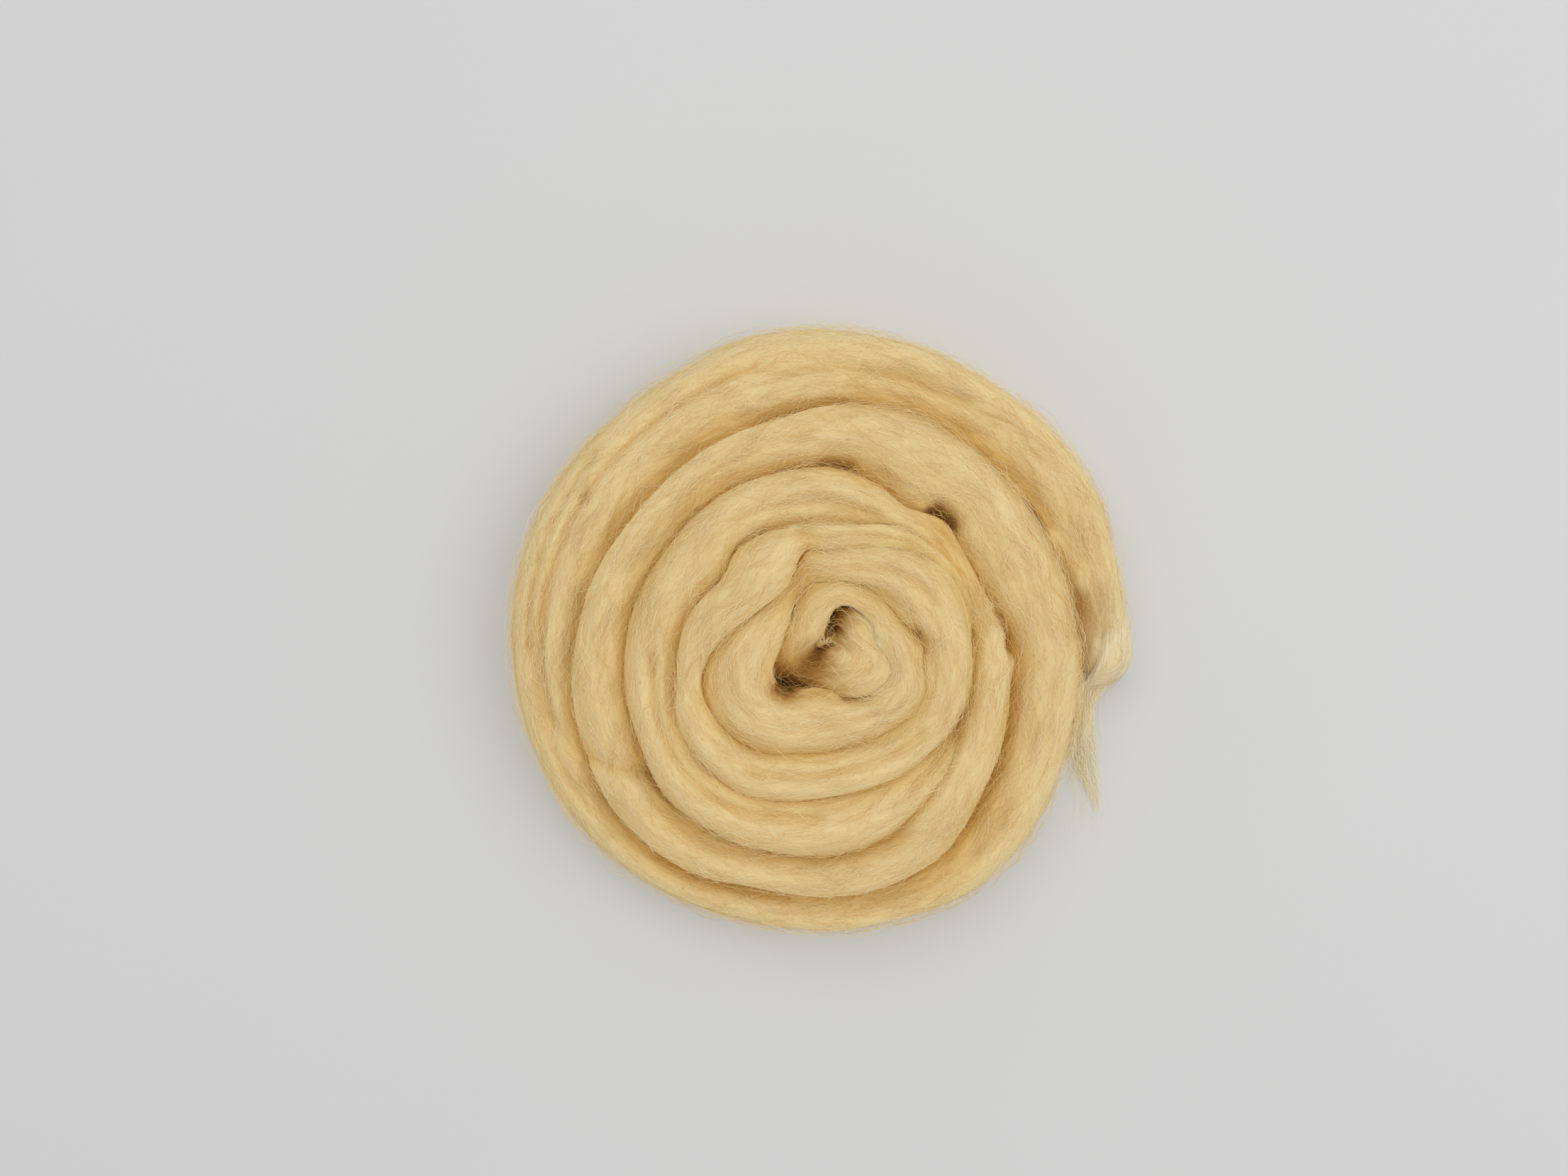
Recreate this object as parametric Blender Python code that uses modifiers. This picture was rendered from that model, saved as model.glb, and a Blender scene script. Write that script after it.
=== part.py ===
"""A hand-wound coil of combed wool roving, lying flat on the surface it rests on.

One soft untwisted strand, about 1.5 m long, is wound inwards anticlockwise into a flat
spiral of a little over six turns. The turns press against each other, lean over one
another in places, and rise towards the middle, where the inner end is curled up. At the
outside the strand ends in a thin wisp of loose fibres.

Units are metres, +Z is up. The origin is the middle of the coil's box, on its base.
"""

import math

import bmesh
import bpy
from mathutils import Vector

MM = 0.001

# Driving dimensions
TURN_GAP = 0.4 * MM  # free space between neighbouring turns
LEAN_TOP = 36 * MM  # height at which a leaning edge reaches its place in EDGES_MM
STRAND_START_DEG = -10  # winding angle of the outer end
STRAND_END_DEG = 2205  # winding angle of the inner end
RING_STEP_DEG = 11.25  # angle between neighbouring sections
TIP_LENGTH = 9 * MM  # the strand's ends round off over this length
TIP_SHARE = 0.3  # how much of the full section is left at the very end
WISP_THICKNESS = 1.5 * MM
WISP_COLUMNS = 4  # faces across the wisp

# The section: an arch over straight sides, on a rounded base that is flat underneath.
ARCH_POINTS = 9
BASE_POINTS = 7
ARCH_RISE_SHARE = 1.15  # rise of the arch for each unit of half width
ARCH_FULLNESS = 0.92  # 1 is an ellipse, less is squarer
BASE_DROP = 5 * MM  # height of the rounded corners at the base
BASE_FLAT = 0.72  # the corners are cut off flat at this share of their height

# Radius of each turn's outer edge in mm. A row is one turn, and a column is one of the
# twelve directions, every 30 degrees anticlockwise from +X. Each row ends where the next
# one starts, and a turn's inner edge is the outer edge of the turn after it.
EDGES_MM = (
    # 0     30    60    90    120   150   180   210   240   270   300   330
    (78.5, 79.0, 77.5, 79.0, 78.5, 80.0, 80.5, 80.5, 77.5, 76.0, 76.0, 69.5),
    (65.5, 62.5, 62.5, 60.0, 58.5, 59.0, 65.0, 69.0, 69.0, 65.5, 62.0, 53.0),
    (46.5, 41.5, 39.5, 43.0, 44.5, 46.5, 50.5, 53.5, 56.5, 54.5, 48.5, 40.0),
    (37.0, 37.0, 33.0, 29.0, 31.5, 31.0, 36.5, 42.5, 43.5, 39.0, 38.5, 36.5),
    (34.0, 33.0, 26.0, 23.0, 17.0, 17.0, 25.5, 34.0, 32.5, 28.5, 28.0, 27.0),
    (22.5, 17.5, 16.0, 15.0, 13.5, 10.5, 10.5, 12.5, 12.5, 13.0, 16.0, 18.5),
    (12.0, 11.5, 10.0, 4.5, 1.6, 1.2, 1.2, 1.5, 2.0, 1.5, 1.5, 1.5),
)
CORE_RADIUS_MM = 1.5  # the inner end stays this far from the coil's axis

# Height of the strand's crest in mm, laid out as EDGES_MM is.
CRESTS_MM = (
    (17, 27, 27, 28, 28, 28, 27, 25, 24, 24, 24, 26),
    (30, 33, 35, 33, 32, 32, 32, 32, 31, 31, 32, 33),
    (34, 33, 34, 36, 37, 37, 36, 36, 36, 35, 34, 29),
    (26, 32, 37, 39, 41, 41, 40, 38, 37, 37, 37, 37),
    (38, 39, 39, 37, 33, 35, 38, 39, 39, 38, 38, 39),
    (37, 36, 37, 38, 37, 36, 35, 30, 20, 30, 36, 37),
)
INNER_END_CREST_MM = 34

# Edges that lean: winding angle of the edge's turn, half spread of the lean, and how far
# further out than in EDGES_MM the edge stands at the base.
LEANS = (
    # winding, spread, out at the base
    (1215, 75, 6.0 * MM),
    (720, 60, 2.5 * MM),
    (1080, 60, -2.5 * MM),
)

# The wisp of loose fibres at the outer end, from the strand's end to its tip.
WISP_SECTIONS = (
    # y, centre x, width, lift above the surface, all in mm
    (-15.0, 72.6, 7.0, 4.0),
    (-20.0, 71.2, 8.0, 2.2),
    (-26.0, 70.3, 8.4, 0.8),
    (-33.0, 71.2, 7.2, 0.0),
    (-40.0, 73.8, 4.6, 0.0),
    (-47.0, 76.0, 1.6, 0.0),
)

WOOL_COLOUR = (0.76, 0.60, 0.34, 1.0)
WOOL_ROUGHNESS = 0.95


def clear_scene():
    """Remove whatever the file holds."""
    for obj in list(bpy.data.objects):
        bpy.data.objects.remove(obj)


def smooth_row(values, place):
    """Value at a fractional index, on a Catmull-Rom curve through all the values."""
    place = min(max(place, 0.0), len(values) - 1.0)
    first = min(int(place), len(values) - 2)
    share = place - first
    before = values[max(first - 1, 0)]
    start, end = values[first], values[first + 1]
    after = values[min(first + 2, len(values) - 1)]
    slope_in, slope_out = (end - before) / 2, (after - start) / 2
    square, cube = share**2, share**3
    return (
        (2 * cube - 3 * square + 1) * start
        + (cube - 2 * square + share) * slope_in
        + (3 * square - 2 * cube) * end
        + (cube - square) * slope_out
    )


def edge_radius(winding_deg):
    """Radius of the strand's outer edge after this much winding."""
    columns = len(EDGES_MM[0])
    radii = [r for row in EDGES_MM for r in row] + [CORE_RADIUS_MM] * columns
    return smooth_row(radii, winding_deg * columns / 360) * MM


def crest_height(winding_deg):
    """Height of the strand's crest after this much winding."""
    columns = len(CRESTS_MM[0])
    heights = [h for row in CRESTS_MM for h in row] + [INNER_END_CREST_MM] * 3
    return smooth_row(heights, winding_deg * columns / 360) * MM


def lean(winding_deg, height):
    """How far the edge stands out at this height, where a turn leans over its neighbour."""
    total = 0.0
    for middle, spread, reach in LEANS:
        share = (winding_deg - middle) / spread
        if abs(share) < 1:
            total += reach * (1 + math.cos(math.pi * share)) / 2
    return total * max(0.0, 1 - height / LEAN_TOP)


def path_radius(winding_deg):
    """Radius of the middle of the strand."""
    return (edge_radius(winding_deg) + edge_radius(winding_deg + 360)) / 2


def tip_share(winding_deg):
    """Size of the section as a share of the full one: less than 1 near the strand's ends."""
    to_end = min(winding_deg - STRAND_START_DEG, STRAND_END_DEG - winding_deg)
    share = math.radians(to_end) * path_radius(winding_deg) / TIP_LENGTH
    if share >= 1:
        return 1.0
    return TIP_SHARE + (1 - TIP_SHARE) * math.sqrt(1 - (1 - share) ** 2)


def section(winding_deg):
    """The strand's outline in the upright plane through the axis, as (radius, height) pairs."""
    outer = edge_radius(winding_deg) - TURN_GAP / 2
    inner = edge_radius(winding_deg + 360) + TURN_GAP / 2
    crest = crest_height(winding_deg)
    share = tip_share(winding_deg)
    middle, half_width = (outer + inner) / 2, (outer - inner) / 2 * share
    crest *= share
    rise = min(ARCH_RISE_SHARE * half_width, 0.6 * crest)
    drop = min(BASE_DROP, 0.3 * crest)
    outline = []
    for point in range(ARCH_POINTS):
        turn = math.pi * point / (ARCH_POINTS - 1)
        across = math.copysign(abs(math.cos(turn)) ** ARCH_FULLNESS, math.cos(turn))
        outline.append((across, crest - rise + rise * math.sin(turn)))
    for point in range(BASE_POINTS):
        turn = math.pi * point / (BASE_POINTS - 1)
        height = drop * BASE_FLAT - drop * math.sin(turn)
        outline.append((-math.cos(turn), max(0.0, height)))
    placed = []
    for across, height in outline:
        out_lean, in_lean = lean(winding_deg, height), lean(winding_deg + 360, height)
        shift = (out_lean + in_lean) / 2 + across * (out_lean - in_lean) / 2
        placed.append((middle + across * half_width + shift * share, height))
    return placed


def strand_rings():
    """Corner points of every section from the outer end to the inner end."""
    first = math.ceil(STRAND_START_DEG / RING_STEP_DEG)
    last = math.floor(STRAND_END_DEG / RING_STEP_DEG)
    windings = [STRAND_START_DEG]
    windings += [step * RING_STEP_DEG for step in range(first, last + 1)]
    windings += [STRAND_END_DEG]
    rings = []
    for winding in sorted(set(windings)):
        turn = math.radians(winding)
        outward = Vector((math.cos(turn), math.sin(turn), 0))
        rings.append([outward * radius + Vector((0, 0, z)) for radius, z in section(winding)])
    return rings


def loft(name, rings):
    """A closed mesh object skinned over rings of equal length, with its ends filled."""
    shape = bmesh.new()
    rows = [[shape.verts.new(corner) for corner in ring] for ring in rings]
    count = len(rings[0])
    for one, other in zip(rows, rows[1:]):
        for side in range(count):
            after = (side + 1) % count
            shape.faces.new((one[side], one[after], other[after], other[side]))
    for row in (rows[0], rows[-1]):
        shape.faces.new(row)
    bmesh.ops.recalc_face_normals(shape, faces=shape.faces)
    bmesh.ops.triangulate(shape, faces=[f for f in shape.faces if len(f.verts) > 4])
    return mesh_object(name, shape)


def mesh_object(name, shape):
    """Turn a bmesh into a named object and free it."""
    mesh = bpy.data.meshes.new(name)
    shape.to_mesh(mesh)
    shape.free()
    return bpy.data.objects.new(name, mesh)


def wound_strand():
    """The whole strand, from its outer end to its curled inner end."""
    strand = loft("wound_roving", strand_rings())
    strand.data.shade_smooth()
    return strand


def loose_wisp():
    """The thin flat wisp of fibres that the outer end runs out into."""
    shape = bmesh.new()
    rows = []
    for y, middle, width, lift in WISP_SECTIONS:
        places = [middle + width * (step / WISP_COLUMNS - 0.5) for step in range(WISP_COLUMNS + 1)]
        rows.append([shape.verts.new(Vector((x, y, lift)) * MM) for x in places])
    for one, other in zip(rows, rows[1:]):
        for side in range(WISP_COLUMNS):
            shape.faces.new((one[side], other[side], other[side + 1], one[side + 1]))
    wisp = mesh_object("loose_end", shape)
    shell = wisp.modifiers.new("thickness", "SOLIDIFY")
    shell.thickness = WISP_THICKNESS
    shell.offset = 1.0
    return wisp


def wool():
    """Undyed cream wool."""
    material = bpy.data.materials.new("combed wool")
    material.use_nodes = True
    shader = material.node_tree.nodes["Principled BSDF"]
    shader.inputs["Base Color"].default_value = WOOL_COLOUR
    shader.inputs["Roughness"].default_value = WOOL_ROUGHNESS
    return material


def centre_on_origin(objects):
    """Move the objects together so that the middle of their box is over the origin."""
    corners = [vertex.co for obj in objects for vertex in obj.data.vertices]
    middle = Vector((
        (min(c.x for c in corners) + max(c.x for c in corners)) / 2,
        (min(c.y for c in corners) + max(c.y for c in corners)) / 2,
        0,
    ))
    for obj in objects:
        for vertex in obj.data.vertices:
            vertex.co -= middle


def main():
    """Build the coil."""
    clear_scene()
    coil = bpy.data.collections.new("wool roving coil")
    bpy.context.scene.collection.children.link(coil)
    pieces = [wound_strand(), loose_wisp()]
    material = wool()
    for piece in pieces:
        piece.data.materials.append(material)
        coil.objects.link(piece)
    centre_on_origin(pieces)


main()
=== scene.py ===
"""A hand-wound coil of combed wool roving, on a plain pale floor in soft studio light.

One soft strand of cream wool winds inwards anticlockwise. Its surface is built from a
table of the seams between neighbouring turns, a table of crest heights, and a list of
folds, which are creases, ridges, steps and holes pressed into it. Loose fibres lie along
the strand, bridge its seams and stand off it as a halo, and the outer end of the strand
runs out into a thin wisp.

Lengths inside the classes are in millimetres, measured from the coil's own axis.
"""
import logging
import math
from dataclasses import dataclass, field
from enum import Enum

import bpy
import numpy as np
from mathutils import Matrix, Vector


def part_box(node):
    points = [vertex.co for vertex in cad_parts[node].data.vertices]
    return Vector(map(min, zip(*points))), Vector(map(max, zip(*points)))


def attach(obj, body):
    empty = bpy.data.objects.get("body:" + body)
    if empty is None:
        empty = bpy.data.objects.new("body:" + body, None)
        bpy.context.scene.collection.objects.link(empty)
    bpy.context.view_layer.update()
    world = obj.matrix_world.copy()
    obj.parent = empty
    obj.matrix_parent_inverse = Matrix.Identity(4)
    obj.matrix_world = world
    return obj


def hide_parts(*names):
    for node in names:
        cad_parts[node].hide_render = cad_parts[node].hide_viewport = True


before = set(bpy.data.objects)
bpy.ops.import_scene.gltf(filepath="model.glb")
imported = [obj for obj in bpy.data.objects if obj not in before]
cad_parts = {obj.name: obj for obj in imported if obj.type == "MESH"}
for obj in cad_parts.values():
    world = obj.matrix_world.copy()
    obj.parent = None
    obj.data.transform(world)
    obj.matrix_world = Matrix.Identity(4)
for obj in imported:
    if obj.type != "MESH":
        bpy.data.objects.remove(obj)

log = logging.getLogger("wool_roving")

MM = 0.001  # metres in a millimetre
BODY = "root"  # the one body that everything rides on

# The coil's axis stands this far in from the low sides of the wound strand's box, in mm.
AXIS_FROM_LOW_X = 80.3
AXIS_FROM_LOW_Y = 75.8

# Winding angles between which the second turn comes to cover the strand's outer side.
FREE_UNTIL_DEG = 330
COVERED_FROM_DEG = 365


# ---------------------------------------------------------------------------
# Small numeric helpers


def smoothstep(low: float, high: float, value: np.ndarray) -> np.ndarray:
    """Ease from 0 at low to 1 at high."""
    share = np.clip((value - low) / (high - low), 0.0, 1.0)
    return share * share * (3 - 2 * share)


def unit(vectors: np.ndarray, least: float = 1e-6) -> np.ndarray:
    """Scale vectors on the last axis to a length of 1."""
    return vectors / np.maximum(np.linalg.norm(vectors, axis=-1, keepdims=True), least)


def mean_of(parts: list[np.ndarray]) -> np.ndarray:
    """Mean of several grids."""
    return np.mean(parts, axis=0)


def covered(winding: np.ndarray) -> np.ndarray:
    """0 where the strand's outer side is free, 1 where another turn lies against it."""
    return smoothstep(FREE_UNTIL_DEG, COVERED_FROM_DEG, winding)


class LatticeNoise:
    """Smooth repeatable noise from random values on a square lattice."""

    SIZE = 256

    def __init__(self, seed: int) -> None:
        """Draw the lattice.

        Args:
            seed: which lattice to draw; the same seed gives the same one.
        """
        self.values = np.random.default_rng(seed).uniform(-1, 1, (self.SIZE, self.SIZE))

    def at(self, along: np.ndarray, across: np.ndarray) -> np.ndarray:
        """Read the noise.

        Args:
            along: first coordinate, in lattice cells.
            across: second coordinate, in lattice cells.

        Returns:
            Values between -1 and 1, one for each pair.
        """
        cell_u, cell_v = np.floor(along), np.floor(across)
        share_u, share_v = along - cell_u, across - cell_v
        share_u = share_u**3 * (share_u * (share_u * 6 - 15) + 10)
        share_v = share_v**3 * (share_v * (share_v * 6 - 15) + 10)
        u0, v0 = cell_u.astype(int) % self.SIZE, cell_v.astype(int) % self.SIZE
        u1, v1 = (u0 + 1) % self.SIZE, (v0 + 1) % self.SIZE
        low = self.values[u0, v0] * (1 - share_u) + self.values[u1, v0] * share_u
        high = self.values[u0, v1] * (1 - share_u) + self.values[u1, v1] * share_u
        return low * (1 - share_v) + high * share_v


def read_table(rows: tuple[tuple[float, ...], ...], tail: float, winding: np.ndarray) -> np.ndarray:
    """Read a table of rows for turns and columns for directions, on a Catmull-Rom curve.

    Args:
        rows: one row for each turn, all of one length.
        tail: the value past the last row.
        winding: winding angles, in degrees.

    Returns:
        One value for each winding angle.
    """
    values = np.array([value for row in rows for value in row] + [tail] * 3)
    place = np.clip(np.asarray(winding, float) * len(rows[0]) / 360, 0, len(values) - 1.001)
    first = place.astype(int)
    share = place - first
    before = values[np.maximum(first - 1, 0)]
    start, end = values[first], values[first + 1]
    after = values[np.minimum(first + 2, len(values) - 1)]
    slope_in, slope_out = (end - before) / 2, (after - start) / 2
    square, cube = share**2, share**3
    return (
        (2 * cube - 3 * square + 1) * start
        + (cube - 2 * square + share) * slope_in
        + (3 * square - 2 * cube) * end
        + (cube - square) * slope_out
    )


# ---------------------------------------------------------------------------
# The form of the wound strand


class FoldKind(Enum):
    """What a fold does to the strand's surface."""

    CREASE = "crease"  # a soft trough
    RIDGE = "ridge"  # a raised bundle of fibres
    STEP = "step"  # the surface is lower on the fold's left, walking from start to end
    HOLE = "hole"  # a steep pit where the turns part


@dataclass(frozen=True)
class Fold:
    """One fold, drawn as a straight line on the strand laid out flat.

    Attributes:
        kind: what the fold does.
        turn: which turn of the strand it is on, 1 for the outermost.
        start_deg: direction of its start from the coil's axis, within that turn.
        start_across: its start's place across the strand, -1 inner edge to 1 outer edge.
        end_deg: direction of its end.
        end_across: its end's place across the strand.
        width: how far its effect reaches sideways, in mm.
        depth: how deep or high it is, in mm.
    """

    kind: FoldKind
    turn: int
    start_deg: float
    start_across: float
    end_deg: float
    end_across: float
    width: float
    depth: float


CREASE, RIDGE, STEP, HOLE = FoldKind.CREASE, FoldKind.RIDGE, FoldKind.STEP, FoldKind.HOLE

# Radius of each turn's outer edge in mm. A row is one turn, and a column is one of the
# 24 directions, every 15 degrees anticlockwise from +X. Each row ends where the next one
# starts, and a turn's inner edge is the outer edge of the turn after it.
EDGES = (
    (78.5, 77.5, 78.5, 78.0, 77.5, 78.0, 79.0, 79.5, 78.0, 78.5, 80.0, 80.5,
     80.5, 80.0, 79.5, 78.5, 76.5, 75.0, 75.0, 74.5, 75.0, 73.0, 69.0, 65.5),
    (62.7, 60.5, 58.8, 58.5, 58.8, 58.7, 57.1, 55.1, 55.1, 55.2, 56.2, 59.0,
     61.6, 64.6, 66.5, 67.4, 66.4, 63.4, 63.1, 62.4, 59.7, 54.1, 50.2, 46.7),
    (46.0, 40.2, 39.2, 40.2, 36.8, 40.2, 42.3, 42.4, 43.2, 43.7, 44.7, 46.6,
     48.6, 50.6, 52.1, 54.8, 54.2, 53.0, 52.8, 50.4, 46.3, 42.8, 39.0, 37.1),
    (36.4, 36.4, 35.4, 33.6, 32.0, 28.8, 27.7, 28.3, 29.6, 30.5, 29.0, 32.1,
     34.8, 36.8, 40.8, 42.0, 42.2, 40.0, 37.5, 36.7, 36.7, 36.6, 36.8, 35.8),
    (34.6, 34.4, 33.0, 30.0, 26.2, 24.1, 22.9, 23.3, 18.5, 17.2, 18.2, 21.3,
     26.7, 32.6, 34.2, 33.5, 31.9, 29.0, 27.6, 26.7, 26.8, 27.2, 26.7, 24.0),
    (22.5, 18.8, 17.5, 16.9, 16.1, 15.2, 14.6, 14.5, 13.5, 12.0, 11.0, 11.2,
     11.5, 13.4, 16.4, 17.2, 15.2, 13.4, 13.3, 14.0, 15.4, 17.4, 18.3, 15.5),
    (12.0, 11.7, 11.3, 10.8, 10.2, 8.8, 5.0, 2.4, 1.3, 0.9, 0.8, 0.8,
     0.8, 1.0, 1.5, 2.0, 2.0, 1.8, 1.5, 1.2, 0.8, 0.4, 0.0, -1.0),
)
CORE_RADIUS = -3.0  # the inner end covers the axis by this much

# Height of the strand's crest in mm. A row is one turn, a column every 30 degrees.
CRESTS = (
    (19, 27, 27, 28, 28, 28, 27, 25, 24, 24, 24, 26),
    (30, 33, 35, 33, 32, 32, 32, 32, 31, 31, 32, 33),
    (34, 33, 34, 36, 37, 37, 36, 36, 36, 35, 34, 31),
    (30, 33, 37, 39, 40, 40, 39.5, 38, 37, 37, 37, 37),
    (38, 39, 39, 37.5, 35.5, 37, 38.5, 39, 39, 38, 37.8, 37.6),
    (37, 36, 37, 38, 37, 36, 35, 32, 27, 33, 37.8, 38),
    (37, 36.8, 36, 29, 24.5, 24, 24, 24, 24, 24, 24, 24),
)
INNER_END_CREST = 24.0

# Depth of the seam at each turn's outer edge, as a share of a full one, every 30 degrees.
SEAM_DEPTHS = (
    (1.4, 1.4, 1.4, 1.4, 1.4, 1.4, 1.4, 1.4, 1.4, 1.4, 1.4, 1.3),
    (0.7, 0.5, 0.5, 0.45, 0.35, 0.35, 0.55, 0.65, 0.65, 0.65, 0.8, 0.95),
    (1.0, 0.9, 0.9, 0.9, 0.85, 0.9, 0.85, 0.9, 0.7, 0.65, 0.7, 0.9),
    (1.1, 0.9, 0.8, 0.6, 0.8, 0.9, 0.85, 0.85, 0.8, 0.6, 0.6, 0.8),
    (0.9, 0.8, 0.7, 0.8, 0.5, 0.35, 0.45, 0.9, 1.25, 1.2, 1.25, 0.9),
    (0.9, 0.8, 0.8, 0.8, 0.9, 0.5, 0.35, 0.45, 0.7, 0.5, 0.3, 0.1),
    (0.05, 0.05, 0.25, 0.7, 1.0, 1.0, 1.0, 1.0, 1.0, 1.0, 1.0, 1.0),
)

# Place of the crest across the strand, -1 inner edge to 1 outer edge, every 30 degrees.
CREST_PLACES = (
    (0.5, 0.5, 0.5, 0.1, 0.1, 0.1, 0.0, 0.1, 0.25, 0.3, 0.3, 0.2),
    (0.1, 0.3, 0.5, 0.1, 0.1, 0.1, 0.1, 0.2, 0.3, 0.2, 0.0, 0.0),
    (0.0, 0.0, 0.0, 0.1, 0.2, 0.1, 0.1, 0.1, 0.1, 0.0, 0.0, 0.0),
    (0.0, 0.0, 0.2, 0.1, -0.2, -0.2, -0.1, 0.1, 0.1, 0.1, 0.1, 0.0),
    (0.1, 0.1, 0.1, 0.1, 0.0, -0.2, -0.2, 0.0, 0.1, 0.2, 0.1, 0.0),
    (0.0, 0.0, 0.0, 0.0, 0.0, 0.0, 0.0, 0.0, 0.1, 0.25, 0.3, 0.2),
    (0.0, 0.0, 0.0, 0.0, 0.0, 0.0, 0.0, 0.0, 0.0, 0.0, 0.0, 0.0),
)

FOLDS = (
    # kind, turn, start deg, across, end deg, across, width, depth
    Fold(CREASE, 1, 105, 0.25, 150, 0.22, 1.3, 2.4),
    Fold(CREASE, 1, 150, 0.22, 198, -0.02, 1.2, 2.6),
    Fold(CREASE, 1, 142, 0.62, 182, 0.35, 1.2, 2.2),
    Fold(CREASE, 1, 182, 0.35, 215, 0.1, 1.2, 1.4),
    Fold(RIDGE, 1, 12, -0.6, 24, -0.75, 3.4, 3.4),
    Fold(CREASE, 1, 60, 0.05, 100, -0.1, 1.6, 1.6),
    Fold(RIDGE, 1, 88, -0.55, 108, -0.45, 3.2, 2.0),
    Fold(RIDGE, 1, 70, 0.45, 120, 0.6, 2.4, 1.2),
    Fold(CREASE, 1, 232, -0.45, 262, -0.35, 1.4, 1.6),
    Fold(CREASE, 1, 262, 0.1, 318, -0.1, 1.6, 1.4),
    Fold(CREASE, 1, -12, -0.55, 6, -0.62, 2.8, 4.4),
    Fold(CREASE, 1, 6, -0.62, 20, -0.95, 2.0, 4.0),
    Fold(HOLE, 1, 27, -0.9, 33, -0.92, 1.9, 9.0),
    Fold(CREASE, 2, 206, 1.0, 219, -0.8, 1.2, 2.4),
    Fold(STEP, 2, 219, -0.8, 206, 1.0, 1.0, 1.8),
    Fold(CREASE, 2, 95, 0.2, 160, 0.0, 1.5, 1.4),
    Fold(HOLE, 2, 220, -0.95, 228, -1.0, 1.7, 4.0),
    Fold(CREASE, 2, 225, -0.3, 262, -0.2, 3.0, 1.2),
    Fold(CREASE, 2, 255, -0.75, 292, -0.6, 2.6, 2.4),
    Fold(RIDGE, 2, 293, -0.7, 330, -0.7, 2.4, 1.8),
    Fold(HOLE, 2, 43, -0.82, 49, -0.77, 2.4, 12.0),
    Fold(CREASE, 3, 8, 0.85, 50, 0.9, 3.0, 3.0),
    Fold(CREASE, 3, -28, 0.9, -2, 0.95, 2.0, 1.6),
    Fold(HOLE, 2, 83, -1.0, 91, -1.0, 1.9, 9.0),
    Fold(CREASE, 2, 20, -0.2, 60, 0.0, 3.0, 1.0),
    Fold(CREASE, 3, 186, 0.1, 266, -0.3, 1.4, 2.0),
    Fold(CREASE, 3, 300, 0.2, 345, 0.1, 1.4, 1.6),
    Fold(HOLE, 3, 122, -1.0, 136, -1.0, 1.6, 5.0),
    Fold(CREASE, 3, 70, -0.2, 128, 0.0, 1.4, 1.7),
    Fold(CREASE, 3, 75, 0.45, 110, 0.5, 1.2, 1.0),
    Fold(CREASE, 3, 5, -0.7, 42, -0.7, 2.0, 1.8),
    Fold(HOLE, 3, -2, 0.95, 8, 0.98, 2.0, 8.0),
    Fold(CREASE, 4, 238, 0.1, 315, 0.0, 1.3, 2.2),
    Fold(STEP, 4, 107, -1.3, 108, 0.35, 1.2, 3.4),
    Fold(CREASE, 4, 48, 0.0, 100, -0.1, 1.5, 1.8),
    Fold(HOLE, 4, 355, -1.0, 364, -1.0, 1.7, 6.0),
    Fold(CREASE, 5, 245, 0.2, 300, -0.1, 1.8, 1.4),
    Fold(CREASE, 5, 20, 0.1, 70, -0.1, 1.4, 1.2),
    Fold(HOLE, 5, 225, -1.0, 234, -1.0, 2.4, 14.0),
    Fold(HOLE, 5, 288, -1.0, 303, -1.0, 2.0, 6.0),
    Fold(CREASE, 5, 236, -0.95, 288, -0.95, 2.4, 3.0),
    Fold(HOLE, 6, 226, 0.9, 234, 0.92, 2.2, 11.0),
    Fold(CREASE, 6, 228, 0.8, 238, -0.3, 3.4, 3.0),
    Fold(CREASE, 6, 40, 0.1, 70, 0.1, 2.0, 0.8),
    Fold(HOLE, 6, 290, -0.85, 330, -0.95, 1.8, 5.0),
    Fold(HOLE, 7, -10, -0.5, 63, 0.0, 1.7, 5.0),
    Fold(HOLE, 7, 63, 0.0, 74, 0.5, 1.8, 3.0),
)


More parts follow.
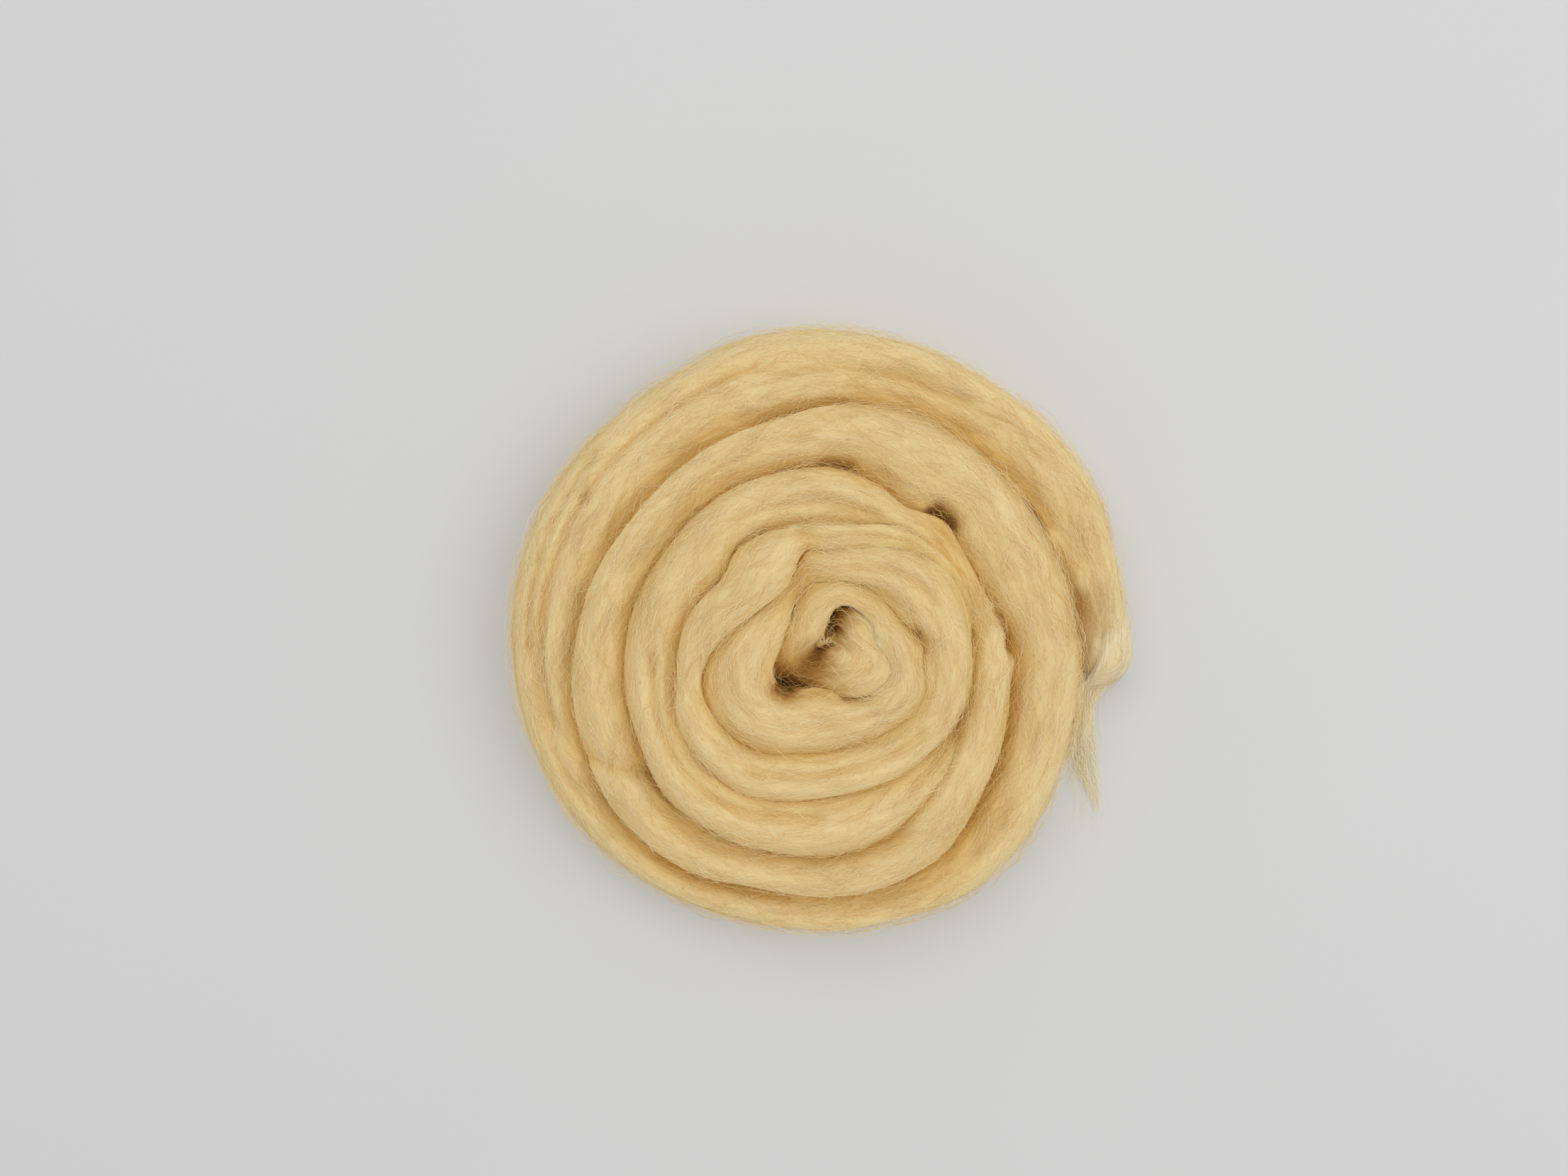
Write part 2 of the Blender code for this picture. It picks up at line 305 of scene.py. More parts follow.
@dataclass
class WoundStrand:
    """The surface of the wound strand, as functions of winding and place across.

    Attributes:
        start_deg: winding angle of the outer end.
        end_deg: winding angle of the inner end.
        press: how far neighbouring turns press into each other, in mm.
        arch_rise: fall of the crest to the seam, for each mm of half width.
        arch_power: 2 is a round arch, less is a slope like a tent's.
        tip_length: length over which the ends round off, in mm.
        tip_least: how much of the full section is left at the very ends.
        seed: seed of the surface's unevenness.
    """

    start_deg: float = -8.0
    end_deg: float = 2290.0
    press: float = 0.6
    arch_rise: float = 0.88
    arch_power: float = 2.05
    tip_length: float = 9.0
    tip_least: float = 0.22
    seed: int = 11
    length_table: tuple[np.ndarray, np.ndarray] = field(init=False, repr=False)
    waves: LatticeNoise = field(init=False, repr=False)
    ridges: LatticeNoise = field(init=False, repr=False)
    streaks: LatticeNoise = field(init=False, repr=False)
    drift: LatticeNoise = field(init=False, repr=False)

    def __post_init__(self) -> None:
        """Measure the strand along its middle and draw the noise."""
        winding = np.arange(self.start_deg - 60, self.end_deg + 61, 1.0)
        radius = np.maximum(self.middle(winding), 3.0)
        steps = radius[1:] * math.radians(1.0)
        self.length_table = (winding, np.concatenate(([0.0], np.cumsum(steps))))
        self.waves = LatticeNoise(self.seed)
        self.ridges = LatticeNoise(self.seed + 1)
        self.streaks = LatticeNoise(self.seed + 2)
        self.drift = LatticeNoise(self.seed + 3)

    def edge(self, winding: np.ndarray) -> np.ndarray:
        """Radius of the outer edge, in mm."""
        return read_table(EDGES, CORE_RADIUS, winding)

    def middle(self, winding: np.ndarray) -> np.ndarray:
        """Radius of the strand's middle, in mm."""
        return (self.edge(winding) + self.edge(np.asarray(winding) + 360)) / 2

    def half_width(self, winding: np.ndarray) -> np.ndarray:
        """Half the strand's width, in mm."""
        return (self.edge(winding) - self.edge(np.asarray(winding) + 360)) / 2

    def crest(self, winding: np.ndarray) -> np.ndarray:
        """Height of the crest, in mm."""
        return read_table(CRESTS, INNER_END_CREST, winding)

    def length_at(self, winding: np.ndarray) -> np.ndarray:
        """Length along the strand from a little before its outer end, in mm."""
        return np.interp(winding, *self.length_table)

    def winding_at(self, length: np.ndarray) -> np.ndarray:
        """Winding angle at a length along the strand."""
        return np.interp(length, self.length_table[1], self.length_table[0])

    def tip_share(self, winding: np.ndarray) -> np.ndarray:
        """Size of the section as a share of the full one, less than 1 near the ends."""
        to_end = np.minimum(
            self.length_at(winding) - self.length_at(self.start_deg),
            self.length_at(self.end_deg) - self.length_at(winding),
        )
        share = np.clip(to_end / self.tip_length, 0, 1)
        return self.tip_least + (1 - self.tip_least) * np.sqrt(1 - (1 - share) ** 2)

    def fall(self, winding: np.ndarray, across: np.ndarray) -> np.ndarray:
        """How far the arch has fallen below its crest, as a share of its full rise."""
        place = read_table(CREST_PLACES, 0.0, winding)
        outer = (across - place) / (1 - place)
        inner = (place - across) / (1 + place)
        share = np.clip(np.maximum(outer, inner), 0, 1)
        depth = read_table(SEAM_DEPTHS, 1.0, np.where(outer > inner, winding, winding + 360))
        soft = np.clip(1.42 - 0.8 * depth, 0.35, 0.97)
        arch = 1 - np.sqrt(np.maximum(1 - share**self.arch_power, 0))
        return (soft * share**2 + (1 - soft) * arch) * depth

    def rise(self, winding: np.ndarray) -> np.ndarray:
        """Height of the arch over its seams, in mm."""
        return np.minimum(self.arch_rise * self.half_width(winding), 0.55 * self.crest(winding))

    def fold_change(self, winding: np.ndarray, across: np.ndarray) -> np.ndarray:
        """Change of height that all the folds make, in mm."""
        along = self.length_at(winding)
        half = self.half_width(winding)
        total = np.zeros(np.broadcast(winding, across).shape)
        for fold in FOLDS:
            base = 360 * (fold.turn - 1)
            s0, s1 = self.length_at(base + fold.start_deg), self.length_at(base + fold.end_deg)
            mid = self.half_width(base + (fold.start_deg + fold.end_deg) / 2)
            t0, t1 = fold.start_across * mid, fold.end_across * mid
            ds, dt = s1 - s0, t1 - t0
            size = ds * ds + dt * dt
            here_s, here_t = along - s0, across * half - t0
            share = np.clip((here_s * ds + here_t * dt) / size, 0, 1)
            distance = np.hypot(here_s - share * ds, here_t - share * dt)
            if fold.kind is FoldKind.STEP:
                side = (here_t * ds - here_s * dt) / math.sqrt(size)
                along_share = (here_s * ds + here_t * dt) / size
                window = smoothstep(-0.25, 0.1, along_share) * smoothstep(1.4, 0.9, along_share)
                reach = np.exp(-np.maximum(np.abs(side) - 2 * fold.width, 0) / 5.0)
                total -= fold.depth * 0.5 * (1 + np.tanh(side / fold.width)) * window * reach
            elif fold.kind is FoldKind.CREASE:
                total -= fold.depth * np.exp(-np.abs(distance / fold.width) ** 1.5)
            else:
                sign = 1 if fold.kind is FoldKind.RIDGE else -1
                total += sign * fold.depth * np.exp(-((distance / fold.width) ** 2))
        return total

    def unevenness(self, winding: np.ndarray, perimeter: np.ndarray) -> np.ndarray:
        """Lumps, ridges and streaks of the surface, in mm, positive outwards.

        Args:
            winding: winding angles.
            perimeter: distance round the section from its crest, in mm.

        Returns:
            One height for each pair.
        """
        along = self.length_at(winding)
        turn = np.floor(winding / 360) * 17.3
        wander = perimeter + 2.2 * self.drift.at(along / 38, perimeter / 9 + turn)
        return (
            0.55 * self.waves.at(along / 60, wander / 7.5 + turn)
            + 0.32 * self.ridges.at(along / 42, wander / 2.8 + turn)
            + 0.13 * self.streaks.at(along / 14, wander / 1.2 + turn)
            + 0.08 * self.streaks.at(along / 7 + 50, wander / 0.7 + turn)
        )

    def top(self, winding: np.ndarray, across: np.ndarray) -> tuple[np.ndarray, np.ndarray]:
        """Radius and height of the strand's upper side.

        Args:
            winding: winding angles, in degrees.
            across: places across, from -1 at the inner edge to 1 at the outer edge.

        Returns:
            The radius from the axis and the height, in mm.
        """
        share = self.tip_share(winding)
        half = self.half_width(winding)
        radius = self.middle(winding) + across * (half + self.press) * share
        height = self.crest(winding) * (0.45 + 0.55 * share)
        height = height - self.rise(winding) * share * self.fall(winding, across)
        height = height + self.fold_change(winding, across)
        return radius, height


# ---------------------------------------------------------------------------
# Finishes


@dataclass(frozen=True)
class NodeTree:
    """A short way to write a material's nodes."""

    tree: bpy.types.NodeTree

    def add(self, kind: str, inputs: dict | None = None, **settings: object) -> bpy.types.Node:
        """Add a node.

        Args:
            kind: the node's type, without its ShaderNode prefix.
            inputs: values or sockets for its inputs, by name or index.
            settings: its properties.

        Returns:
            The node.
        """
        node = self.tree.nodes.new("ShaderNode" + kind)
        for name, value in settings.items():
            setattr(node, name, value)
        for key, value in (inputs or {}).items():
            if isinstance(value, bpy.types.NodeSocket):
                self.tree.links.new(value, node.inputs[key])
            else:
                node.inputs[key].default_value = value
        return node

    def math(self, operation: str, first: object, second: object = 0.0) -> bpy.types.NodeSocket:
        """Result of one calculation on two values or sockets."""
        return self.add("Math", {0: first, 1: second}, operation=operation).outputs[0]

    def blend(
        self, share: object, first: object, second: object, blend_type: str = "MIX"
    ) -> bpy.types.NodeSocket:
        """Colour between two colours or sockets."""
        mix = self.add("Mix", {"Factor": share}, data_type="RGBA", blend_type=blend_type)
        for key, value in (("A", first), ("B", second)):
            socket = [s for s in mix.inputs if s.name == key and s.type == "RGBA"][0]
            if isinstance(value, bpy.types.NodeSocket):
                self.tree.links.new(value, socket)
            else:
                socket.default_value = value
        return [s for s in mix.outputs if s.type == "RGBA"][0]

    def ramp(self, value: bpy.types.NodeSocket, low: float, high: float) -> bpy.types.NodeSocket:
        """Value mapped so that low becomes 0 and high becomes 1."""
        settings = {"Value": value, "From Min": low, "From Max": high}
        return self.add("MapRange", settings).outputs[0]


Colour = tuple[float, float, float, float]


@dataclass(frozen=True)
class WoolFinish:
    """Combed wool: streaks along the strand, painted shade that turns it golden in its valleys and deep
    brown in the deepest, and a soft sheen.
    """

    name: str = "combed wool"
    # golden is the colour of the wool's warmer streaks and of the painted shade in the valleys; deep is
    # the painted shade of the deepest; thin is the paler colour of the free outer side and the outer end.
    pale: Colour = (0.905, 0.73, 0.388, 1)
    golden: Colour = (0.82, 0.54, 0.16, 1)
    deep: Colour = (0.62, 0.345, 0.085, 1)
    thin: Colour = (0.94, 0.82, 0.54, 1)
    streak_length: float = 9.0
    streak_width: float = 0.7
    crimp_length: float = 2.4
    crimp_reach: float = 0.2
    slant: float = 0.22
    wander: float = 5.0
    # between is multiplied in as painted shade in the gaps between hair streaks.
    between: Colour = (0.84, 0.73, 0.58, 1)
    hair_contrast: float = 1.0
    bump_depth: float = 0.22
    roughness: float = 0.9
    sheen: float = 0.2
    glow: float = 0.35

    def material(self) -> bpy.types.Material:
        """Build the material.

        Returns:
            The material. It reads a UV map in metres and an attribute of painted shade in the valleys.
        """
        material = bpy.data.materials.new(self.name)
        material.use_nodes = True
        nodes = NodeTree(material.node_tree)
        shader = material.node_tree.nodes["Principled BSDF"]
        uv = nodes.add("UVMap", uv_map="strand").outputs["UV"]
        split = nodes.add("SeparateXYZ", {"Vector": uv})
        along = nodes.math("MULTIPLY", split.outputs["X"], 1 / MM)
        across = nodes.math("MULTIPLY", split.outputs["Y"], 1 / MM)

        drift = self.pattern(nodes, along, across, 24.0, 9.0, 1.0)
        drift = nodes.math("MULTIPLY", drift, self.wander)
        across = nodes.math("ADD", across, drift)
        phase = self.pattern(nodes, along, across, 14.0, 1.6, 1.0)
        turns = nodes.math("MULTIPLY", along, 2 * math.pi / self.crimp_length)
        wave = nodes.math("SINE", nodes.math("ADD", turns, nodes.math("MULTIPLY", phase, 30.0)))
        crimped = nodes.math("ADD", across, nodes.math("MULTIPLY", wave, self.crimp_reach))
        fine = self.pattern(nodes, along, crimped, self.streak_length, self.streak_width, 3.0)
        broad = self.pattern(nodes, along, across, 60.0, 7.0, 2.0)
        hairs = [
            self.pattern(nodes, along, self.slanted(nodes, along, crimped, slant), 8.0, 0.34, 2.0)
            for slant in (-self.slant, 0.0, self.slant)
        ]
        fibre = nodes.math("ADD", nodes.math("ADD", hairs[0], hairs[1]), hairs[2])

        # Painted shade: valleys turn golden and the deepest deep brown, from the attribute of painted
        # shade; the wool's own streaks add a little gold too.
        hollow_shade = nodes.add("Attribute", attribute_name="hollow_shade").outputs["Fac"]
        streaks_and_shade = nodes.math("ADD", nodes.ramp(fine, 0.35, 0.75), nodes.ramp(broad, 0.4, 0.7))
        streaks_and_shade = nodes.math("MULTIPLY", streaks_and_shade, 0.15)
        streaks_and_shade = nodes.math("ADD", streaks_and_shade, nodes.math("MULTIPLY", hollow_shade, 0.85))
        streaks_and_shade = nodes.add("Clamp", {"Value": streaks_and_shade}).outputs[0]
        colour = nodes.blend(streaks_and_shade, self.pale, self.golden)
        dark = nodes.ramp(hollow_shade, 0.85, 1.6)
        colour = nodes.blend(dark, colour, self.deep)
        # Where the attribute goes below 0, on the free outer side and towards the outer end, the wool is
        # made paler.
        colour = nodes.blend(nodes.ramp(hollow_shade, 0.0, -1.0), colour, self.thin)
        # Painted shade between the hair streaks: the gaps are darkened by multiplying in the between
        # colour.
        gap = nodes.ramp(fibre, 1.5, 1.0)
        shaded = nodes.blend(1.0, colour, self.between, blend_type="MULTIPLY")
        colour = nodes.blend(nodes.math("MULTIPLY", gap, self.hair_contrast), colour, shaded)
        material.node_tree.links.new(colour, shader.inputs["Base Color"])

        height = nodes.math("ADD", fine, nodes.math("MULTIPLY", fibre, 0.35))
        settings = {"Strength": 0.6, "Distance": self.bump_depth * MM, "Height": height}
        bump = nodes.add("Bump", settings)
        material.node_tree.links.new(bump.outputs["Normal"], shader.inputs["Normal"])

        shader.inputs["Roughness"].default_value = self.roughness
        shader.inputs["Specular IOR Level"].default_value = 0.15
        shader.inputs["Sheen Weight"].default_value = self.sheen
        shader.inputs["Sheen Roughness"].default_value = 0.45
        shader.inputs["Sheen Tint"].default_value = (1.0, 0.93, 0.78, 1)
        shader.inputs["Subsurface Weight"].default_value = self.glow
        shader.inputs["Subsurface Radius"].default_value = (1.0, 0.7, 0.35)
        shader.inputs["Subsurface Scale"].default_value = 3.0 * MM
        return material

    def slanted(
        self,
        nodes: NodeTree,
        along: bpy.types.NodeSocket,
        across: bpy.types.NodeSocket,
        slant: float,
    ) -> bpy.types.NodeSocket:
        """Distance across, measured from lines that lean over to one side."""
        return nodes.math("ADD", across, nodes.math("MULTIPLY", along, slant))

    def pattern(
        self,
        nodes: NodeTree,
        along: bpy.types.NodeSocket,
        across: bpy.types.NodeSocket,
        length: float,
        width: float,
        detail: float,
    ) -> bpy.types.NodeSocket:
        """Noise drawn out along the strand.

        Args:
            nodes: the material's nodes.
            along: distance along the strand, in mm.
            across: distance across it, in mm.
            length: length of a streak, in mm.
            width: width of a streak, in mm.
            detail: octaves of finer noise in it.

        Returns:
            The noise, about 0 to 1.
        """
        place = nodes.add("CombineXYZ", {
            "X": nodes.math("DIVIDE", along, length),
            "Y": nodes.math("DIVIDE", across, width),
            "Z": length,
        })
        settings = {"Vector": place.outputs[0], "Scale": 1.0, "Detail": detail}
        return nodes.add("TexNoise", settings, noise_dimensions="3D").outputs["Fac"]


@dataclass(frozen=True)
class FibreFinish:
    """Single wool fibres, each a little paler or more golden than the next, and more golden where painted
    shade falls on them over valleys.
    """

    name: str = "wool fibre"
    pale: Colour = (0.95, 0.795, 0.465, 1)
    golden: Colour = (0.76, 0.50, 0.15, 1)
    roughness: float = 0.75

    def material(self) -> bpy.types.Material:
        """Build the material, which reads a tone attribute."""
        material = bpy.data.materials.new(self.name)
        material.use_nodes = True
        nodes = NodeTree(material.node_tree)
        shader = material.node_tree.nodes["Principled BSDF"]
        tone = nodes.add("Attribute", attribute_name="tone").outputs["Fac"]
        colour = nodes.blend(tone, self.golden, self.pale)
        material.node_tree.links.new(colour, shader.inputs["Base Color"])
        shader.inputs["Roughness"].default_value = self.roughness
        shader.inputs["Specular IOR Level"].default_value = 0.12
        return material


@dataclass(frozen=True)
class PlainFinish:
    """A plain matt finish for the floor, with the faintest mottling."""

    name: str
    colour: Colour
    roughness: float = 0.8

    def material(self) -> bpy.types.Material:
        """Build the material."""
        material = bpy.data.materials.new(self.name)
        material.use_nodes = True
        nodes = NodeTree(material.node_tree)
        shader = material.node_tree.nodes["Principled BSDF"]
        place = nodes.add("TexCoord").outputs["Object"]
        cloud = nodes.add("TexNoise", {"Vector": place, "Scale": 6.0, "Detail": 2.0})
        darker = tuple(0.97 * part for part in self.colour[:3]) + (1,)
        colour = nodes.blend(cloud.outputs["Fac"], self.colour, darker)
        material.node_tree.links.new(colour, shader.inputs["Base Color"])
        shader.inputs["Roughness"].default_value = self.roughness
        shader.inputs["Specular IOR Level"].default_value = 0.1
        return material


# ---------------------------------------------------------------------------
# Pieces


def coil_axis() -> np.ndarray:
    """Place of the coil's axis in the shared frame, in mm, with its base at 0."""
    low, _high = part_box("wound_roving")
    return np.array([low[0] / MM + AXIS_FROM_LOW_X, low[1] / MM + AXIS_FROM_LOW_Y, 0.0])


def round_the_axis(winding: np.ndarray, radius: np.ndarray, height: np.ndarray) -> np.ndarray:
    """Points at these windings, radii and heights.

    Args:
        winding: winding angles, in degrees.
        radius: radii from the coil's axis, in mm.
        height: heights, in mm.

    Returns:
        Points from the coil's axis, in mm, with x, y and z last.
    """
    turn = np.radians(winding)
    return np.stack([radius * np.cos(turn), radius * np.sin(turn), height + 0 * radius], axis=-1)


def grid_mesh(name: str, points: np.ndarray, closed: bool) -> bpy.types.Mesh:
    """Skin a grid of points.

    Args:
        name: the mesh's name.
        points: rows by columns by 3, in metres.
        closed: whether the last column joins the first and both end rows are filled.

    Returns:
        The mesh.
    """
    rows, columns = points.shape[:2]
    index = np.arange(rows * columns).reshape(rows, columns)
    after = np.roll(index, -1, axis=1)
    sides = slice(None) if closed else slice(0, columns - 1)
    quads = np.stack(
        [index[:-1, sides], after[:-1, sides], after[1:, sides], index[1:, sides]], axis=-1
    ).reshape(-1, 4)
    faces = quads.tolist()
    if closed:
        faces += [index[0, ::-1].tolist(), index[-1].tolist()]
    mesh = bpy.data.meshes.new(name)
    mesh.from_pydata(points.reshape(-1, 3).tolist(), [], faces)
    mesh.validate()
    mesh.shade_smooth()
    return mesh


def write_point_values(mesh: bpy.types.Mesh, name: str, values: np.ndarray) -> None:
    """Add one number for each point of a mesh, under a name that its material reads."""
    layer = mesh.attributes.new(name, "FLOAT", "POINT")
    layer.data.foreach_set("value", values.astype(np.float32).ravel())


def corner_points(mesh: bpy.types.Mesh) -> np.ndarray:
    """Index of the point at each corner of a mesh's faces."""
    corners = np.empty(len(mesh.loops), dtype=np.int32)
    mesh.loops.foreach_get("vertex_index", corners)
    return corners


def write_uv(mesh: bpy.types.Mesh, uv: np.ndarray) -> None:
    """Add the UV map that the wool's materials read, in metres."""
    layer = mesh.uv_layers.new(name="strand")
    layer.data.foreach_set("uv", uv.astype(np.float32).ravel())


def place_piece(name: str, mesh: bpy.types.Mesh, material: bpy.types.Material) -> bpy.types.Object:
    """Make a mesh a piece of the coil.

    Args:
        name: the piece's name.
        mesh: its mesh, in the shared frame.
        material: its finish.

    Returns:
        The piece, riding on the coil's body.
    """
    piece = bpy.data.objects.new(name, mesh)
    bpy.context.scene.collection.objects.link(piece)
    mesh.materials.append(material)
    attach(piece, BODY)
    return piece


@dataclass
class ReliefMap:
    """The coil's upper side on a square grid: its height, its grain, a skin over it, and the painted shade
    of its valleys.

    Attributes:
        points: the body's points, in mm from the axis.
        shade: how much deeper each point counts than its height tells, 0 for most.
        cell: size of a grid cell, in mm.
        reach: half the size of the grid, in mm.
        splits: how many samples are taken between neighbouring sections.
        valley: half the width of the widest valley whose floor gets painted shade, in mm.
        flank: how far a crest's own flank gets the painted shade of its valley, in mm.
        full_depth: depth below the banks at which the painted shade is full, in mm.
        ignored: share of the full depth that gets no painted shade.
        deepest: the most painted shade that a point gets.
    """

    points: np.ndarray
    shade: np.ndarray
    cell: float = 0.6
    reach: float = 96.0
    splits: int = 4
    valley: float = 6.0
    flank: float = 3.6
    full_depth: float = 5.8
    ignored: float = 0.08
    deepest: float = 1.6
    height: np.ndarray = field(init=False, repr=False)
    shadow: np.ndarray = field(init=False, repr=False)
    grain: np.ndarray = field(init=False, repr=False)
    skin: np.ndarray = field(init=False, repr=False)
    cover: np.ndarray = field(init=False, repr=False)
    banks: np.ndarray = field(init=False, repr=False)

    def __post_init__(self) -> None:
        """Press the points into the grid and stretch the skin."""
        count = int(2 * self.reach / self.cell)
        grain = np.gradient(self.points, axis=0)
        grain = unit(grain)
        shares = np.arange(self.splits) / self.splits
        dense = np.concatenate(
            [self.points[:-1] * (1 - share) + self.points[1:] * share for share in shares]
        ).reshape(-1, 3)
        grain = np.concatenate([grain[:-1]] * self.splits).reshape(-1, 3)
        shade = np.concatenate([self.shade[:-1]] * self.splits).ravel()
        order = np.argsort(dense[:, 2])
        dense, grain, shade = dense[order], grain[order], shade[order]
        column = ((dense[:, :2] + self.reach) / self.cell).astype(int)
        self.height = np.zeros((count, count))
        self.height[column[:, 0], column[:, 1]] = dense[:, 2]
        self.shadow = np.zeros((count, count))
        self.shadow[column[:, 0], column[:, 1]] = shade
        self.grain = np.zeros((count, count, 2))
        self.grain[column[:, 0], column[:, 1]] = grain[:, :2]
        for _ in range(2):
            empty = self.height == 0
            self.height = np.where(empty, self.spread(self.height, np.maximum.reduce), self.height)
            near = self.spread(self.grain, lambda parts: np.sum(parts, axis=0))
            self.grain = np.where(empty[..., None], near, self.grain)
        self.skin = self.height
        for _ in range(2):
            self.skin = self.spread(self.skin, np.maximum.reduce)
        for _ in range(3):
            self.skin = self.spread(self.skin, mean_of)
        for _ in range(3):
            self.grain = self.spread(self.grain, mean_of)
        self.cover = self.height
        for _ in range(2):
            self.cover = self.spread(self.cover, mean_of)
        self.cover = np.maximum(self.cover, self.height)
        # Banks that the painted shade is measured down from: the valleys closed over, and each crest's
        # near flank.
        grown = self.widened(self.height, self.flank, np.maximum.reduce)
        closed = self.widened(self.height, self.valley, np.maximum.reduce)
        closed = self.widened(closed, self.valley, np.minimum.reduce)
        within = 0.6 * smoothstep(0, 12, self.widened(self.height, self.valley, np.minimum.reduce))
        self.banks = closed * (1 - within) + np.maximum(grown, closed) * within
        self.banks = self.widened(self.banks, 2 * self.cell, mean_of)
        self.shadow = self.widened(self.shadow, 2 * self.cell, mean_of)

    def widened(self, grid: np.ndarray, reach: float, combine: object) -> np.ndarray:
        """Combine each cell with all its neighbours within a reach, in mm."""
        for _ in range(round(reach / self.cell)):
            grid = self.spread(grid, combine)
        return grid

    def hollow_shade(self, points: np.ndarray) -> np.ndarray:
        """Painted shade at the points: how deep in a valley they are, plus the painted flank shade; 0 on a
        crest, 1 at full depth.
        """
        place = points[..., :2]
        depth = np.maximum(self.at(self.banks, place) - points[..., 2], 0) / self.full_depth
        return np.clip(depth + self.at(self.shadow, place) - self.ignored, 0, self.deepest)

    def spread(self, grid: np.ndarray, combine: object) -> np.ndarray:
        """Combine each cell with its eight neighbours.

        Args:
            grid: the grid.
            combine: what to do with the nine values of each cell.

        Returns:
            The new grid.
        """
        shifts = [(i, j) for i in (-1, 0, 1) for j in (-1, 0, 1)]
        return combine([np.roll(grid, shift, axis=(0, 1)) for shift in shifts])

    def at(self, grid: np.ndarray, place: np.ndarray) -> np.ndarray:
        """Read a grid between its cells, at places in mm with x and y last."""
        spot = np.clip((place + self.reach) / self.cell - 0.5, 0, grid.shape[0] - 1.001)
        cell = spot.astype(int)
        i, j = cell[..., 0], cell[..., 1]
        share = spot - cell
        su, sv = share[..., 0], share[..., 1]
        if grid.ndim == 3:
            su, sv = su[..., None], sv[..., None]
        low = grid[i, j] * (1 - su) + grid[i + 1, j] * su
        high = grid[i, j + 1] * (1 - su) + grid[i + 1, j + 1] * su
        return low * (1 - sv) + high * sv


